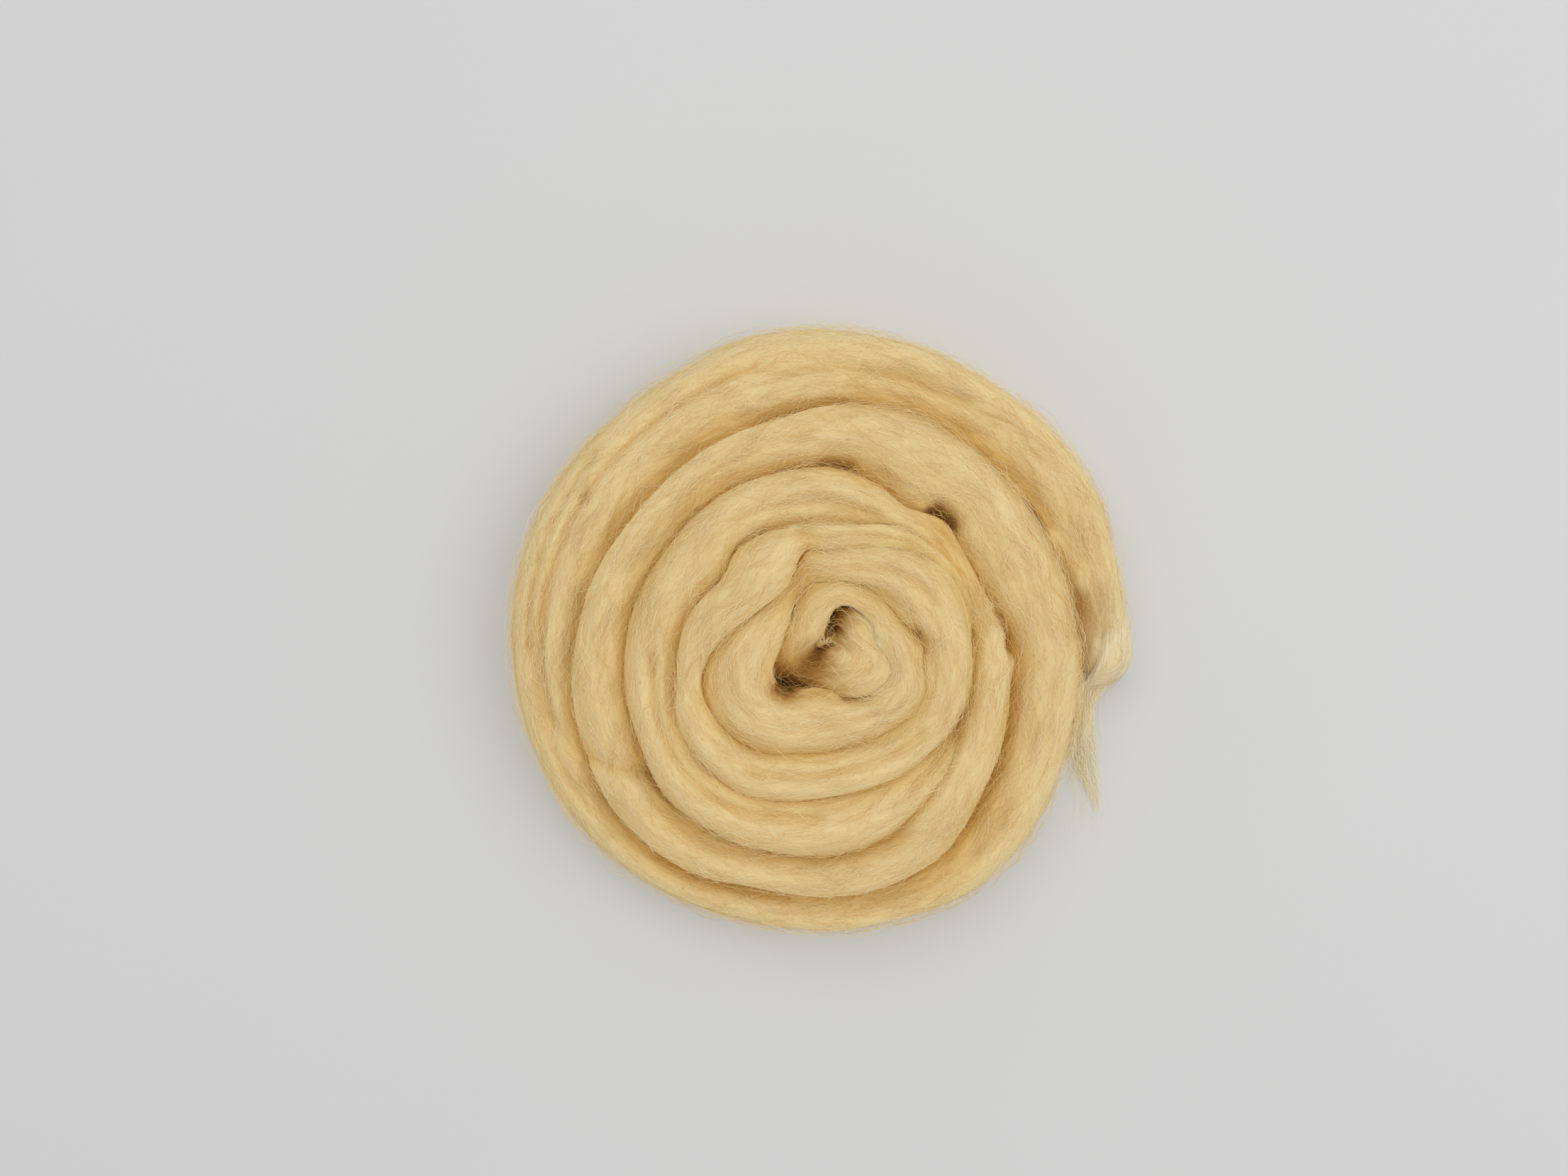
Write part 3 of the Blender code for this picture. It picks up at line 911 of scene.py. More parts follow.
@dataclass
class WoundRoving:
    """The body of the coil, one strand skinned from its outer end to its inner end.

    Attributes:
        strand: the strand's surface.
        finish: the wool.
        step: distance between sections, in mm.
        top_points: points across the upper side.
        side_points: points down each side.
        base_points: points across the base.
        outer_flank_shade: how much painted shade darkens each turn at its outer edge.
        inner_flank_shade: how much painted shade darkens it at its inner edge.
        swell: how far the free outer side swells past its shoulder, in mm.
    """

    strand: WoundStrand
    finish: WoolFinish = WoolFinish()
    step: float = 1.55
    top_points: int = 56
    side_points: int = 13
    base_points: int = 8
    outer_flank_shade: float = 0.22
    inner_flank_shade: float = 0.3
    swell: float = 0.9
    points: np.ndarray = field(init=False, repr=False)
    normals: np.ndarray = field(init=False, repr=False)
    relief: ReliefMap = field(init=False, repr=False)

    def outline(self, winding: np.ndarray) -> tuple[np.ndarray, np.ndarray, np.ndarray]:
        """Sections before their surface detail is added.

        Args:
            winding: one winding angle for each section.

        Returns:
            Radius, height and place across of every point, sections by points.
        """
        strand = self.strand
        column = winding[:, None]
        lift = np.linspace(-90, 90, self.top_points)[None, ::-1]
        across = np.sin(np.radians(lift)) + 0 * column
        top_radius, top_height = strand.top(column, across)

        share = strand.tip_share(column)
        half = (strand.half_width(column) + strand.press) * share
        middle = strand.middle(column)
        corner = np.minimum(6.0, 0.3 * top_height.max(axis=1, keepdims=True))
        sides = []
        for edge_side, shoulder in ((1, top_height[:, :1]), (-1, top_height[:, -1:])):
            drop = np.linspace(0, 1, self.side_points + 1)[None, 1:]
            fall = shoulder * (1 - drop)
            turn = np.clip(1 - fall / corner, 0, 1)
            inset = (1 - np.sqrt(1 - 0.95 * turn**2)) * 0.55 * half
            bulge = self.outer_bulge(column) * np.sin(np.pi * drop) if edge_side > 0 else 0
            radius = middle + edge_side * (half - inset) + bulge
            sides.append((radius, fall + 0 * radius, edge_side + 0 * radius))
        base = np.linspace(1, -1, self.base_points + 2)[None, 1:-1]
        outer_end, inner_end = sides[0][0][:, -1:], sides[1][0][:, -1:]
        base_radius = (outer_end + inner_end) / 2 + base * (outer_end - inner_end) / 2
        (outer_radius, outer_height, outer_place), (inner_radius, inner_height, inner_place) = sides
        base_place = base[:, ::-1] + 0 * base_radius
        radius = np.hstack([top_radius, inner_radius, base_radius[:, ::-1], outer_radius[:, ::-1]])
        height = np.hstack([top_height, inner_height, 0 * base_radius, outer_height[:, ::-1]])
        place = np.hstack([across, inner_place, base_place, outer_place])
        return radius, height, place

    def outer_bulge(self, winding: np.ndarray) -> np.ndarray:
        """How far the free outer side swells past its shoulder, in mm."""
        return self.swell * (1 - covered(winding))

    def build(self) -> bpy.types.Object:
        """Build the piece.

        Returns:
            The coil's body, in place of its plain solid.
        """
        strand = self.strand
        ends = strand.length_at(np.array([strand.start_deg, strand.end_deg]))
        count = int((ends[1] - ends[0]) / self.step) + 1
        winding = strand.winding_at(np.linspace(ends[0], ends[1], count))
        radius, height, place = self.outline(winding)
        points = round_the_axis(winding[:, None] + 0 * radius, radius, height)

        around = np.linalg.norm(np.diff(points, axis=1, append=points[:, :1]), axis=2)
        perimeter = np.cumsum(around, axis=1) - around
        crest = self.top_points // 2
        perimeter = perimeter - perimeter[:, crest:crest + 1]
        along_tangent = np.gradient(points, axis=0)
        around_tangent = (np.roll(points, -1, axis=1) - np.roll(points, 1, axis=1)) / 2
        normal = np.cross(along_tangent, around_tangent)
        normal = unit(normal, 1e-9)
        centre = points.mean(axis=1, keepdims=True)
        outwards = np.sign(np.sum(normal * (points - centre), axis=2).mean())
        normal *= outwards

        detail = strand.unevenness(winding[:, None] + 0 * radius, perimeter)
        calm = smoothstep(0.0, 5.0, height)
        points = points + normal * (detail * calm)[..., None]
        points[..., 2] = np.maximum(points[..., 2], 0.0)
        self.points, self.normals = points, normal
        # Painted shade on each turn's flanks beside its seams, more where the seam is deeper; the free
        # outer side gets none.
        own_seam = read_table(SEAM_DEPTHS, 1.0, winding) * covered(winding)
        next_seam = read_table(SEAM_DEPTHS, 1.0, winding + 360)
        outer = self.outer_flank_shade * smoothstep(0.4, 0.95, place) * own_seam[:, None]
        inner = self.inner_flank_shade * smoothstep(-0.6, -0.97, place) * next_seam[:, None]
        self.relief = ReliefMap(points, (outer + inner) * (height > 0))

        mesh = grid_mesh("wound_roving_body", (points + coil_axis()) * MM, closed=True)
        self.add_maps(mesh, winding, points, perimeter, detail)
        piece = place_piece("wound_roving_body", mesh, self.finish.material())
        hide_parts("wound_roving")
        return piece

    def add_maps(
        self,
        mesh: bpy.types.Mesh,
        winding: np.ndarray,
        points: np.ndarray,
        perimeter: np.ndarray,
        detail: np.ndarray,
    ) -> None:
        """Add the UV map, in metres, and the attribute of painted shade in the valleys, which is made
        paler on the free outer side and towards the outer end.

        Args:
            mesh: the body's mesh.
            winding: each section's winding angle.
            points: its points, sections by points by 3.
            perimeter: each point's distance round its section.
            detail: each point's unevenness, in mm.
        """
        sections, around = perimeter.shape
        # Painted shade: how deep in a valley each point lies, plus the painted flank shade.
        hollow_shade = self.relief.hollow_shade(points)
        sides = np.zeros(around)
        sides[self.top_points + self.side_points:] = 1
        free = 1 - covered(winding)[:, None]
        # The free outer side and base get no painted shade and are made a little paler.
        hollow_shade = np.where((sides[None, :] > 0) & (free > 0.5), -0.15, hollow_shade)
        # Painted shade in the small dips of the surface's unevenness.
        hollow_shade = hollow_shade + 0.2 * smoothstep(0.1, -1.1, detail)
        # Paler over the last stretch towards the strand's outer end.
        near_outer_end = smoothstep(24.0, -8.0, self.strand.length_at(winding) - self.strand.length_at(0.0))
        hollow_shade = hollow_shade - 1.1 * near_outer_end[:, None]
        write_point_values(mesh, "hollow_shade", hollow_shade)

        along = self.strand.length_at(winding)
        corner = corner_points(mesh)
        row, column = corner // around, corner % around
        total = perimeter[:, -1] + np.linalg.norm(points[:, -1] - points[:, 0], axis=1)
        v = perimeter[row, column]
        starts = np.empty(len(mesh.polygons), dtype=np.int32)
        mesh.polygons.foreach_get("loop_start", starts)
        sizes = np.empty(len(mesh.polygons), dtype=np.int32)
        mesh.polygons.foreach_get("loop_total", sizes)
        face = np.repeat(np.arange(len(sizes)), sizes)
        first = np.full(len(sizes), False)
        last = np.full(len(sizes), False)
        np.logical_or.at(first, face, column == 0)
        np.logical_or.at(last, face, column == around - 1)
        wraps = (first & last)[face] & (column == 0)
        v = np.where(wraps, v + total[row], v)
        write_uv(mesh, np.stack([along[row], v], axis=1) * MM)


@dataclass(frozen=True)
class Fibre:
    """One fibre: points in mm from the axis, its ribbon's sideways unit vectors, and tone, with painted
    shade in it for fibres strewn over valleys.
    """

    points: np.ndarray
    face: np.ndarray
    width: float
    tone: np.ndarray


def ribbon_mesh(name: str, fibres: list[Fibre]) -> bpy.types.Mesh:
    """Join fibres into one mesh of narrow ribbons that taper at both ends.

    Args:
        name: the mesh's name.
        fibres: the fibres.

    Returns:
        The mesh, in the shared frame, with a tone attribute, which carries the fibres' painted shade too.
    """
    axis = coil_axis()
    corners, quads, tones_and_shade = [], [], []
    offset = 0
    for fibre in fibres:
        count = len(fibre.points)
        taper = np.sqrt(np.clip(np.sin(math.pi * np.linspace(0.03, 0.97, count)), 0, 1))
        reach = fibre.face * (0.5 * fibre.width * taper)[:, None]
        rows = np.stack([fibre.points - reach, fibre.points + reach], axis=1).reshape(-1, 3)
        corners.append(rows)
        first = offset + 2 * np.arange(count - 1)
        quads.append(np.stack([first, first + 1, first + 3, first + 2], axis=1))
        tones_and_shade.append(np.repeat(fibre.tone, 2))
        offset += 2 * count
    points = (np.concatenate(corners) + axis) * MM
    faces = np.concatenate(quads)
    mesh = bpy.data.meshes.new(name)
    mesh.vertices.add(len(points))
    mesh.vertices.foreach_set("co", points.astype(np.float32).ravel())
    mesh.loops.add(faces.size)
    mesh.loops.foreach_set("vertex_index", faces.astype(np.int32).ravel())
    mesh.polygons.add(len(faces))
    mesh.polygons.foreach_set("loop_start", np.arange(0, faces.size, 4, dtype=np.int32))
    mesh.update(calc_edges=True)
    write_point_values(mesh, "tone", np.concatenate(tones_and_shade))
    mesh.shade_smooth()
    return mesh


class Lay(Enum):
    """How loose fibres lie."""

    LOCKS = "locks"  # close to the strand and along it, in small locks that share a crimp
    BRIDGES = "bridges"  # singly, from turn to turn over the seams
    HALO = "halo"  # singly, standing off the coil's free outer side


@dataclass(frozen=True)
class Strewn:
    """How the fibres of one lay are strewn.

    Attributes:
        locks: number of locks.
        members: fibres in each lock.
        shortest: length of the shortest, in mm.
        longest: length of the longest, in mm.
        gather: how far a lock's fibres start from its middle, in mm.
        lock_turn: how far a lock is turned from the strand's grain, in degrees.
        fibre_turn: how far a fibre is turned from its lock, in degrees.
        curl: how much a fibre's heading drifts along it, in degrees.
        thinnest: width of the thinnest, in mm.
        thickest: width of the thickest, in mm.
        loft: how far the middle of a fibre may stand off, in mm.
    """

    locks: int
    members: int
    shortest: float
    longest: float
    gather: float
    lock_turn: float
    fibre_turn: float
    curl: float
    thinnest: float
    thickest: float
    loft: float


@dataclass
class FibreCoat:
    """Loose fibres on the coil, as narrow ribbons joined into a few pieces.

    Attributes:
        body: the coil's body, already built.
        finish: the fibres' finish.
        locks: how the fibres that lie in locks are strewn.
        bridges: how the fibres that bridge the seams are strewn.
        halo: number of fibres off the outer side.
        side: number of fibres that lie along the outer side.
        reach: how far from the axis fibres are strewn, in mm.
        lowest: least height of the wool under a strewn fibre, in mm.
        side_length: length of the strand whose outer side is free, in mm.
        crimp: length of a crimp wave, in mm.
        segment: length of one straight run of a fibre, in mm.
        piece_faces: most faces in one piece.
        seed: seed of their places.
    """

    body: WoundRoving
    finish: FibreFinish = FibreFinish()
    locks: Strewn = Strewn(1800, 5, 7, 16, 0.9, 12, 5, 20, 0.06, 0.12, 0.3)
    bridges: Strewn = Strewn(4200, 1, 4, 12, 0.0, 26, 0, 50, 0.05, 0.1, 0.6)
    halo: int = 1900
    side: int = 1500
    reach: float = 79.5
    lowest: float = 6.0
    side_length: float = 500.0
    crimp: float = 2.2
    segment: float = 0.6
    piece_faces: int = 90000
    seed: int = 5
    chance: np.random.Generator = field(init=False, repr=False)
    relief: ReliefMap = field(init=False, repr=False)

    def __post_init__(self) -> None:
        """Prepare the chance and the relief."""
        self.chance = np.random.default_rng(self.seed)
        self.relief = self.body.relief

    def build(self) -> list[bpy.types.Object]:
        """Build every fibre.

        Returns:
            The pieces.
        """
        material = self.finish.material()
        pieces = []
        for lay in Lay:
            for number, batch in enumerate(self.batches(self.lay_fibres(lay)), 1):
                mesh = ribbon_mesh(f"fibre_{lay.value}_{number}", batch)
                pieces.append(place_piece(mesh.name, mesh, material))
        return pieces

    def batches(self, fibres: list[Fibre]) -> list[list[Fibre]]:
        """Share fibres out so that no piece has too many faces."""
        shared, faces = [[]], 0
        for fibre in fibres:
            faces += len(fibre.points)
            if faces > self.piece_faces:
                shared.append([])
                faces = len(fibre.points)
            shared[-1].append(fibre)
        return shared

    def lay_fibres(self, lay: Lay) -> list[Fibre]:
        """All fibres of one lay."""
        if lay is Lay.LOCKS:
            return self.strew(self.locks, self.relief.cover)
        if lay is Lay.BRIDGES:
            return self.strew(self.bridges, self.relief.skin)
        fibres = [self.stray(loft=1.3) for _ in range(self.halo)]
        return fibres + [self.stray(loft=0.15) for _ in range(self.side)]

    def strew(self, kind: Strewn, ground: np.ndarray) -> list[Fibre]:
        """Strew fibres over the coil's upper side.

        Args:
            kind: how they are strewn.
            ground: the grid that they lie on.

        Returns:
            The fibres.
        """
        chance, relief = self.chance, self.relief
        turn = chance.uniform(0, 2 * math.pi, kind.locks)
        radius = self.reach * np.sqrt(chance.random(kind.locks))
        middle = np.stack([radius * np.cos(turn), radius * np.sin(turn)], axis=1)
        members = kind.locks * kind.members
        place = np.repeat(middle, kind.members, axis=0)
        place = place + chance.normal(0, max(kind.gather, 1e-6), (members, 2))
        length = chance.uniform(kind.shortest, kind.longest, members)
        heading = np.repeat(chance.normal(0, kind.lock_turn, kind.locks), kind.members)
        heading = np.radians(heading + chance.normal(0, kind.fibre_turn, members))
        curl = np.radians(chance.normal(0, kind.curl, members))
        phase = np.repeat(chance.uniform(0, 2 * math.pi, kind.locks), kind.members)
        phase = phase + chance.normal(0, 0.5, members)
        reach = np.repeat(chance.uniform(0.08, 0.24, kind.locks), kind.members)
        tone = np.repeat(chance.normal(0.77, 0.06, kind.locks), kind.members)
        tone = tone + chance.normal(0, 0.32, members)
        width = chance.uniform(kind.thinnest, kind.thickest, members)
        loft = np.abs(chance.normal(0, kind.loft, members))
        ends = chance.random((members, 2)) < 0.75

        steps = int(kind.longest / self.segment) + 1
        track = np.empty((steps, members, 2))
        grains = np.empty((steps, members, 2))
        for step in range(steps):
            track[step] = place
            grain = relief.at(relief.grain, place)
            grain = unit(grain)
            angle = heading + curl * step * self.segment / 10
            cos, sin = np.cos(angle), np.sin(angle)
            grain = np.stack(
                [grain[:, 0] * cos - grain[:, 1] * sin, grain[:, 0] * sin + grain[:, 1] * cos], axis=1
            )
            grains[step] = grain
            place = place + grain * self.segment
        fibres = []
        for one in range(members):
            count = max(int(length[one] / self.segment), 4)
            along = np.linspace(0, 1, count)
            path, grain = track[:count, one], grains[:count, one]
            side = np.stack([-grain[:, 1], grain[:, 0]], axis=1)
            wave = 2 * math.pi * along * length[one] / self.crimp + phase[one]
            path = path + side * (reach[one] * np.sin(wave))[:, None]
            height = relief.at(ground, path)
            if height.min() < self.lowest:
                continue
            lift = 0.08 + loft[one] * np.sin(math.pi * along) + 0.4 * reach[one] * np.cos(wave)
            dive = ends[one, 0] * np.exp(-along / 0.06) + ends[one, 1] * np.exp(-(1 - along) / 0.06)
            point = np.column_stack([path, height + lift - (0.4 + kind.loft) * dive])
            tilt = chance.normal(0, 0.3)
            face = np.column_stack([side * math.cos(tilt), np.full(count, math.sin(tilt))])
            # Painted shade: fibres over valleys are made more golden, by the same painted shade as the
            # body.
            ground_point = np.column_stack([path, relief.at(relief.height, path)])
            tones_and_shade = np.clip(tone[one] - 0.75 * relief.hollow_shade(ground_point), 0, 1)
            fibres.append(Fibre(point, face, float(width[one]), tones_and_shade))
        return fibres

    def surface(self, row: np.ndarray, column: np.ndarray) -> tuple[np.ndarray, np.ndarray]:
        """Point and normal on the body between its sections and points."""
        rows, columns = self.body.points.shape[:2]
        row = np.clip(row, 0, rows - 1.001)
        i, j = row.astype(int), np.floor(column).astype(int)
        si, sj = (row - i)[:, None], (column - j)[:, None]
        j0, j1 = j % columns, (j + 1) % columns
        found = []
        for grid in (self.body.points, self.body.normals):
            low = grid[i, j0] * (1 - si) + grid[i + 1, j0] * si
            high = grid[i, j1] * (1 - si) + grid[i + 1, j1] * si
            found.append(low * (1 - sj) + high * sj)
        return found[0], found[1]

    def stray(self, loft: float) -> Fibre:
        """One fibre along the coil's free outer side.

        Args:
            loft: how far its middle tends to stand off, in mm.

        Returns:
            The fibre.
        """
        body, chance = self.body, self.chance
        start = chance.uniform(0, self.side_length / body.step)
        column = chance.uniform(-body.side_points * 0.85, 9)
        length = chance.uniform(6, 20)
        count = int(length / self.segment)
        along = np.linspace(0, 1, count)
        row = start + along * length / body.step
        track = column + chance.normal(0, 3.0) * along
        point, normal = self.surface(row, track)
        tangent = np.gradient(point, axis=0)
        tangent = unit(tangent)
        side = np.cross(tangent, normal)
        wave = 2 * math.pi * along * length / (self.crimp * 1.3) + chance.uniform(0, 6)
        arch = np.abs(chance.normal(0, loft)) * np.sin(math.pi * along) ** 0.8
        tip = max(chance.normal(-0.5, 0.8), 0.0) * along**2 * (loft > 1)
        lift = arch + tip + 0.2 * np.sin(wave) * np.sin(math.pi * along) - 0.05
        point = point + normal * lift[:, None] + side * (0.22 * np.cos(wave))[:, None]
        point[:, 2] = np.maximum(point[:, 2], 0.1)
        face = side if loft < 1 else np.cross(tangent, chance.normal(0, 1, 3))
        face = unit(face)
        return Fibre(point, face, chance.uniform(0.05, 0.11), np.full(count, chance.uniform(0.6, 1.0)))


@dataclass(frozen=True)
class WispSection:
    """One place along the loose end.

    Attributes:
        y: place along the wisp, in mm from the axis.
        middle: x of its middle, in mm.
        width: its width, in mm.
        lift: height over the floor, in mm.
        cover: how closely its fibres lie, 1 hides the floor.
    """

    y: float
    middle: float
    width: float
    lift: float
    cover: float


@dataclass(frozen=True)
class WispFinish:
    """A film of wool so thin that the floor shows between its streaks."""

    name: str = "thin wool"
    pale: Colour = (0.95, 0.82, 0.55, 1)
    golden: Colour = (0.90, 0.72, 0.38, 1)
    roughness: float = 0.9

    def material(self) -> bpy.types.Material:
        """Build the material. It reads a UV map in metres and a cover attribute."""
        material = bpy.data.materials.new(self.name)
        material.use_nodes = True
        nodes = NodeTree(material.node_tree)
        shader = material.node_tree.nodes["Principled BSDF"]
        uv = nodes.add("UVMap", uv_map="strand").outputs["UV"]
        split = nodes.add("SeparateXYZ", {"Vector": uv})
        place = nodes.add("CombineXYZ", {
            "X": nodes.math("MULTIPLY", split.outputs["X"], 1 / (0.7 * MM)),
            "Y": nodes.math("MULTIPLY", split.outputs["Y"], 1 / (10 * MM)),
        })
        settings = {"Vector": place.outputs[0], "Scale": 1.0, "Detail": 3.0}
        streak = nodes.add("TexNoise", settings).outputs["Fac"]
        cover = nodes.add("Attribute", attribute_name="cover").outputs["Fac"]
        colour = nodes.blend(nodes.ramp(cover, 1.0, 2.0), self.pale, self.golden)
        material.node_tree.links.new(colour, shader.inputs["Base Color"])
        alpha = nodes.math("MULTIPLY", cover, nodes.ramp(streak, 0.15, 0.58))
        material.node_tree.links.new(alpha, shader.inputs["Alpha"])
        shader.inputs["Roughness"].default_value = self.roughness
        shader.inputs["Sheen Weight"].default_value = 0.15
        return material


@dataclass
class LooseEnd:
    """The outer end of the strand, frayed out into a thin wisp.

    Attributes:
        coat: the coil's fibres, already prepared.
        finish: the film of the wisp.
        fibre_finish: the single fibres.
        sections: the wisp's sections, from inside the strand's end to the tip.
        rows: points along the film.
        columns: points across the film.
        fibres: number of fibres in the wisp.
        wanderers: number of the longest, loosest fibres.
        curls: number of fibres that curl back round the strand's end.
        thickness: the least height of the film over the floor, in mm.
        flat_width: a width of the film, in mm; not used.
        end_middle: middle of the strand's soft end, in mm from the axis.
        end_reach: how far the fibres curl from that middle, in mm.
        film_seed: seed of the film's ragged edges and ripples.
    """

    coat: FibreCoat
    finish: WispFinish = WispFinish()
    fibre_finish: FibreFinish = FibreFinish(
        "loose wool fibre", (0.98, 0.90, 0.70, 1), (0.94, 0.80, 0.50, 1)
    )
    sections: tuple[WispSection, ...] = (
        WispSection(5.0, 75.2, 6.0, 10.0, 0.6),
        WispSection(1.0, 75.4, 7.6, 12.0, 1.6),
        WispSection(-3.0, 75.2, 8.6, 13.0, 2.2),
        WispSection(-8.0, 74.4, 9.2, 11.0, 2.2),
        WispSection(-11.5, 73.0, 9.0, 7.0, 2.1),
        WispSection(-14.5, 71.4, 8.2, 4.0, 1.9),
        WispSection(-20.0, 70.4, 8.2, 1.8, 1.7),
        WispSection(-26.0, 70.4, 8.4, 0.9, 1.3),
        WispSection(-31.0, 70.6, 8.6, 0.6, 0.75),
        WispSection(-37.0, 71.6, 7.6, 0.5, 0.5),
        WispSection(-42.0, 73.6, 4.4, 0.5, 0.45),
        WispSection(-47.0, 75.2, 1.8, 0.4, 0.35),
    )
    rows: int = 80
    columns: int = 18
    fibres: int = 420
    wanderers: int = 34
    curls: int = 260
    thickness: float = 0.25
    flat_width: float = 10.5
    end_middle: tuple[float, float] = (73.4, -4.5)
    end_reach: tuple[float, float] = (6.6, 9.5)
    film_seed: int = 31

    def along(self, name: str, y: np.ndarray) -> np.ndarray:
        """One measure of the sections at places along the wisp."""
        ys = [-section.y for section in self.sections]
        return np.interp(-y, ys, [getattr(section, name) for section in self.sections])

    def build(self) -> list[bpy.types.Object]:
        """Returns:
            The film and its fibres.
        """
        film = self.film()
        fibres = [self.frayed(False) for _ in range(self.fibres)]
        fibres += [self.frayed(True) for _ in range(self.wanderers)]
        fibres += [self.curled() for _ in range(self.curls)]
        mesh = ribbon_mesh("loose_end_fibres", fibres)
        frayed = place_piece(mesh.name, mesh, self.fibre_finish.material())
        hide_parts("loose_end")
        return [film, frayed]

    def film(self) -> bpy.types.Object:
        """The thin film, with ragged edges and soft ripples."""
        noise = LatticeNoise(self.film_seed)
        top, tip = self.sections[0].y, self.sections[-1].y
        y = np.linspace(top, tip, self.rows)[:, None]
        across = np.linspace(-1, 1, self.columns)[None, :]
        ragged = 1 + 0.2 * noise.at(y / 3.1, np.sign(across) * 5 + 0 * y) * np.abs(across)
        x = self.along("middle", y) + 0.5 * across * self.along("width", y) * ragged
        ripple = 0.5 * noise.at(x / 2.3, y / 11) + 0.6 * (1 - across**2)
        z = self.along("lift", y) + ripple * smoothstep(tip - 2, tip + 6, y)
        z = z - 5.0 * across**4 * smoothstep(-16, -8, y)
        relief = self.coat.relief
        below = relief.at(relief.skin, np.stack([x, y + 0 * x], axis=-1))
        over = below + 0.3 - 0.7 * smoothstep(-2, 4, y)
        z = np.where(x > 64 + 0 * z, np.maximum(z, over), z)
        for _ in range(3):
            z[1:-1] = (z[:-2] + 2 * z[1:-1] + z[2:]) / 4
        points = np.stack([x, y + 0 * x, np.maximum(z, self.thickness)], axis=-1)
        mesh = grid_mesh("loose_end_film", (points + coil_axis()) * MM, closed=False)
        flat_uv = points[..., :2].reshape(-1, 2) * MM
        write_uv(mesh, flat_uv[corner_points(mesh)])
        cover = self.along("cover", y) * (1 - np.abs(across) ** 3)
        streak = np.exp(-(((across - 0.3) / 0.4) ** 2)) * smoothstep(-30, -24, y) * smoothstep(-13, -17, y)
        cover = cover * (0.78 + 0.5 * streak)
        write_point_values(mesh, "cover", cover)
        return place_piece("loose_end_film", mesh, self.finish.material())

    def frayed(self, wanders: bool) -> Fibre:
        """One fibre of the wisp, from the strand's end down on to the floor.

        Args:
            wanders: whether it strays past the wisp's tip.

        Returns:
            The fibre.
        """
        coat, chance = self.coat, self.coat.chance
        tip = self.sections[-1].y
        start = chance.uniform(-8, 6) if chance.random() < 0.55 else chance.uniform(-30, -8)
        end = max(start - chance.uniform(7, 24), tip - 1.5)
        if wanders:
            start, end = chance.uniform(-32, -18), chance.uniform(tip - 9, tip + 6)
        count = max(int(abs(start - end) / coat.segment), 6)
        along = np.linspace(0, 1, count)
        y = start + (end - start) * along
        place = float(np.clip(chance.normal(0, 0.45), -1.1, 1.1)) + chance.normal(0, 0.25) * along
        x = self.along("middle", y) + 0.5 * place * self.along("width", y)
        x = np.convolve(np.pad(x, 5, mode="edge"), np.ones(11) / 11, mode="valid")
        if wanders:
            x = x - chance.uniform(0.0, 8.0) * along**1.5 + chance.normal(0, 1.5) * np.sin(3 * along)
        wave = 2 * math.pi * along * abs(start - end) / (1.4 * coat.crimp) + chance.uniform(0, 6)
        x = x + 0.2 * np.sin(wave)
        z = self.along("lift", y) + chance.uniform(-0.3, 1.4) + 0.2 * np.cos(wave)
        return self.thin_fibre(np.column_stack([x, y, z]), chance.uniform(0.05, 0.08 if wanders else 0.12))

    def curled(self) -> Fibre:
        """One fibre that curls round the soft end of the strand."""
        coat, chance = self.coat, self.coat.chance
        first, last = chance.uniform(20, 60), chance.uniform(-110, -60)
        reach = chance.uniform(0.45, 1.06)
        count = max(int(reach * 16 / coat.segment), 6)
        turn = np.radians(np.linspace(first, last, count))
        x = self.end_middle[0] + self.end_reach[0] * reach * np.cos(turn) + chance.normal(0, 0.4)
        y = self.end_middle[1] + self.end_reach[1] * reach * np.sin(turn) + chance.normal(0, 0.7)
        along = np.linspace(0, 1, count)
        ground = coat.relief.at(coat.relief.skin, np.column_stack([x, y]))
        z = np.maximum(self.along("lift", y), ground) + chance.uniform(-1.0, 1.2)
        z = np.convolve(np.pad(z, 3, mode="edge"), np.ones(7) / 7, mode="valid")
        z = z + 0.25 * np.cos(9 * along * reach + chance.uniform(0, 6))
        return self.thin_fibre(np.column_stack([x, y, z]), chance.uniform(0.05, 0.11))

    def thin_fibre(self, points: np.ndarray, width: float) -> Fibre:
        """Make points a fibre that faces any way, above the floor.

        Args:
            points: its points, in mm from the axis.
            width: its width, in mm.

        Returns:
            The fibre.
        """
        chance = self.coat.chance
        points[:, 2] = np.maximum(points[:, 2], 0.12)
        across = np.cross(np.gradient(points, axis=0), [chance.normal(0, 0.4), 0.0, 1.0])
        face = unit(across)
        return Fibre(points, face, width, np.full(len(points), chance.uniform(0.3, 1.0)))


# ---------------------------------------------------------------------------
# Studio


@dataclass(frozen=True)
class SoftLamp:
    """One soft lamp, aimed at the middle of the coil."""

    name: str
    place: tuple[float, float, float]
    size: float
    power: float
    colour: tuple[float, float, float] = (1.0, 1.0, 1.0)

    def build(self) -> None:
        """Hang the lamp."""
        data = bpy.data.lights.new(self.name, "AREA")
        data.shape = "DISK"
        data.size = self.size
        data.energy = self.power
        data.color = self.colour
        lamp = bpy.data.objects.new(self.name, data)
        lamp.location = self.place
        lamp.rotation_euler = (-Vector(self.place)).to_track_quat("-Z", "Y").to_euler()
        bpy.context.scene.collection.objects.link(lamp)


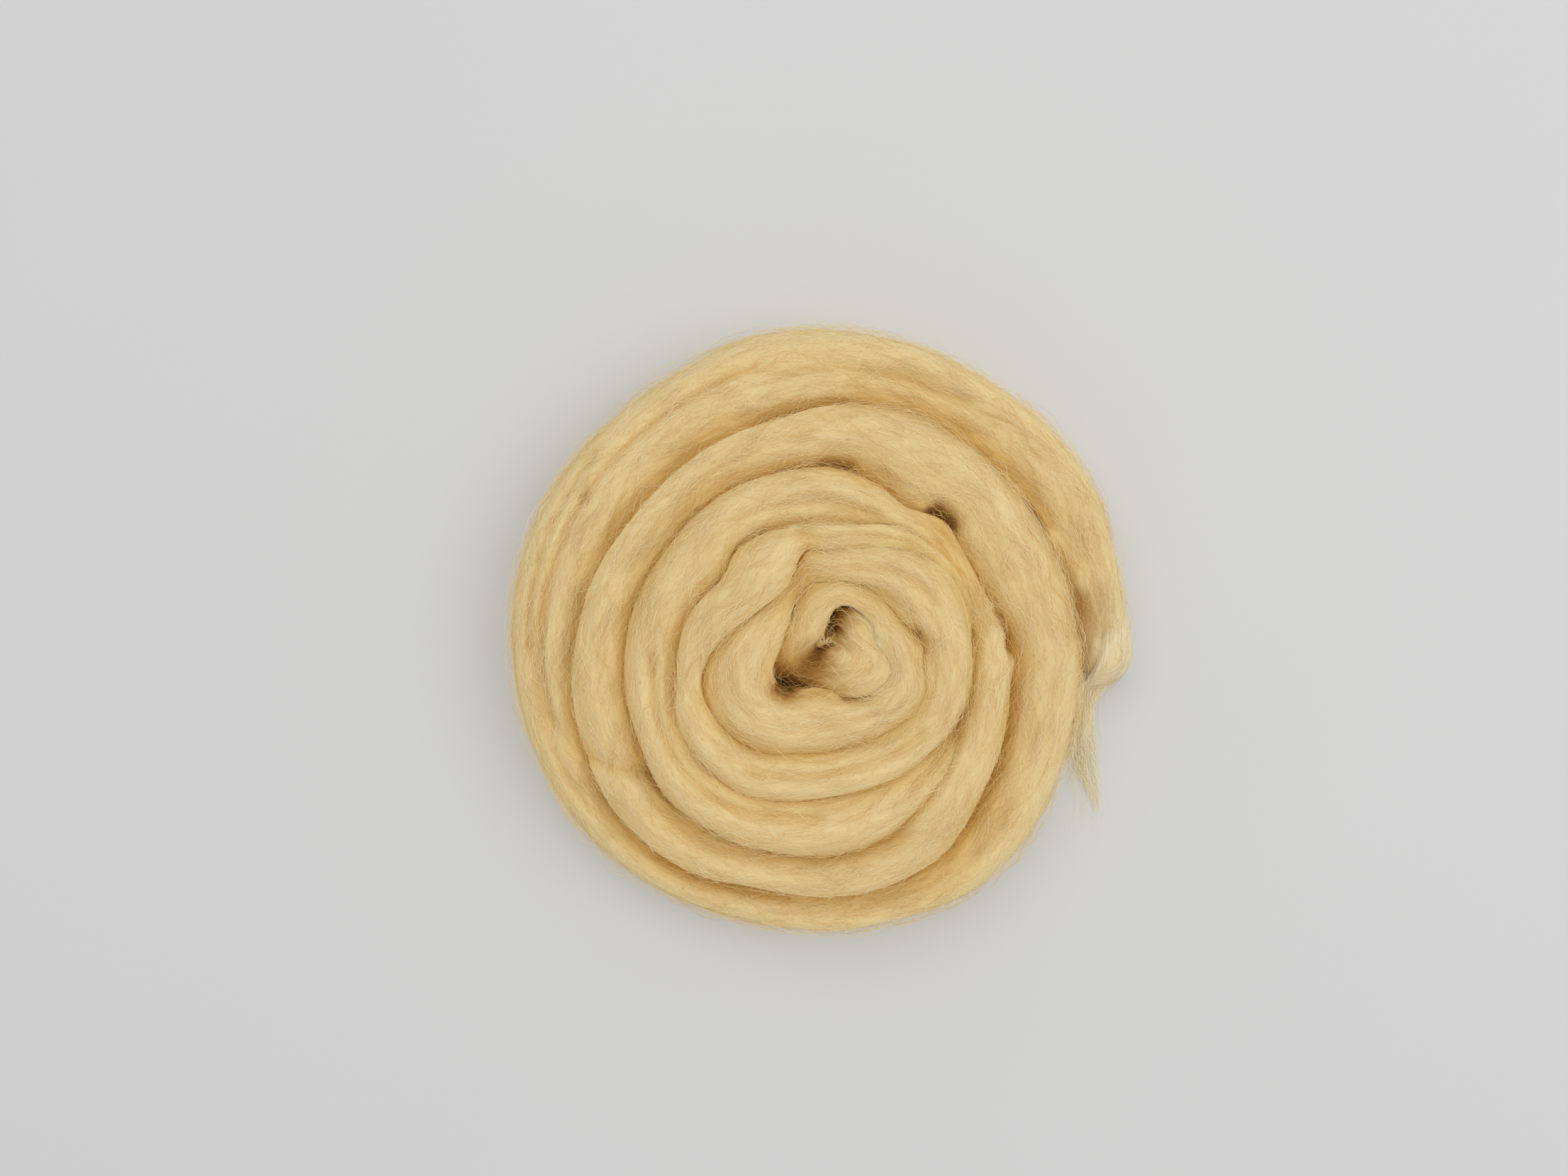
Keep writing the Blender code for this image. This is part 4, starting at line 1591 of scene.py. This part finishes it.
@dataclass
class Studio:
    """The floor, the soft light and the camera that looks straight down.

    Attributes:
        camera_from_axis: place of the camera from the coil's axis, in mm.
        view_angle: the camera's view from side to side, in degrees.
        floor: the floor's finish.
        lamps: the soft lamps.
        surround: strength of the light from all round.
    """

    camera_from_axis: tuple[float, float, float] = (-10.7, 12.8, 322.0)
    view_angle: float = 67.3
    floor: PlainFinish = PlainFinish("pale floor", (0.765, 0.77, 0.77, 1))
    lamps: tuple[SoftLamp, ...] = (
        SoftLamp("window", (0.75, 0.0, 0.95), 0.9, 3.2, (1.0, 0.99, 0.97)),
        SoftLamp("fill", (-0.3, 0.5, 1.1), 1.0, 3.1),
    )
    surround: float = 0.555

    def build(self) -> None:
        """Set up everything that isn't the coil."""
        self.build_camera()
        self.build_floor()
        for lamp in self.lamps:
            lamp.build()
        self.build_surround()

    def build_camera(self) -> None:
        """Stand the camera over the coil, looking straight down."""
        data = bpy.data.cameras.new("overhead")
        data.sensor_width = 36.0
        data.lens = data.sensor_width / 2 / math.tan(math.radians(self.view_angle / 2))
        camera = bpy.data.objects.new("overhead", data)
        camera.location = (coil_axis() + np.array(self.camera_from_axis)) * MM
        bpy.context.scene.collection.objects.link(camera)
        bpy.context.scene.camera = camera

    def build_floor(self) -> None:
        """Lay the floor that the coil rests on."""
        corners = np.array([[[x, y, 0.0] for x in (-3, 3)] for y in (-3, 3)], float)
        mesh = grid_mesh("pale_floor", corners, closed=False)
        mesh.materials.append(self.floor.material())
        floor = bpy.data.objects.new("pale_floor", mesh)
        bpy.context.scene.collection.objects.link(floor)

    def build_surround(self) -> None:
        """Light the scene evenly from all round."""
        scene = bpy.context.scene
        scene.world = bpy.data.worlds.new("soft surround")
        scene.world.use_nodes = True
        background = scene.world.node_tree.nodes["Background"]
        background.inputs["Color"].default_value = (1.0, 1.0, 1.0, 1)
        background.inputs["Strength"].default_value = self.surround
        scene.view_settings.view_transform = "Standard"


def main() -> None:
    """Build the coil, its loose fibres and the studio, and report each piece."""
    logging.basicConfig(level=logging.INFO, format="%(message)s")
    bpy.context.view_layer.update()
    Studio().build()
    strand = WoundStrand()
    roving = WoundRoving(strand)
    pieces = [roving.build()]
    coat = FibreCoat(roving)
    pieces += coat.build()
    pieces += LooseEnd(coat).build()
    for piece in pieces:
        log.info("%s: %d faces", piece.name, len(piece.data.polygons))


if __name__ == "__main__":
    main()
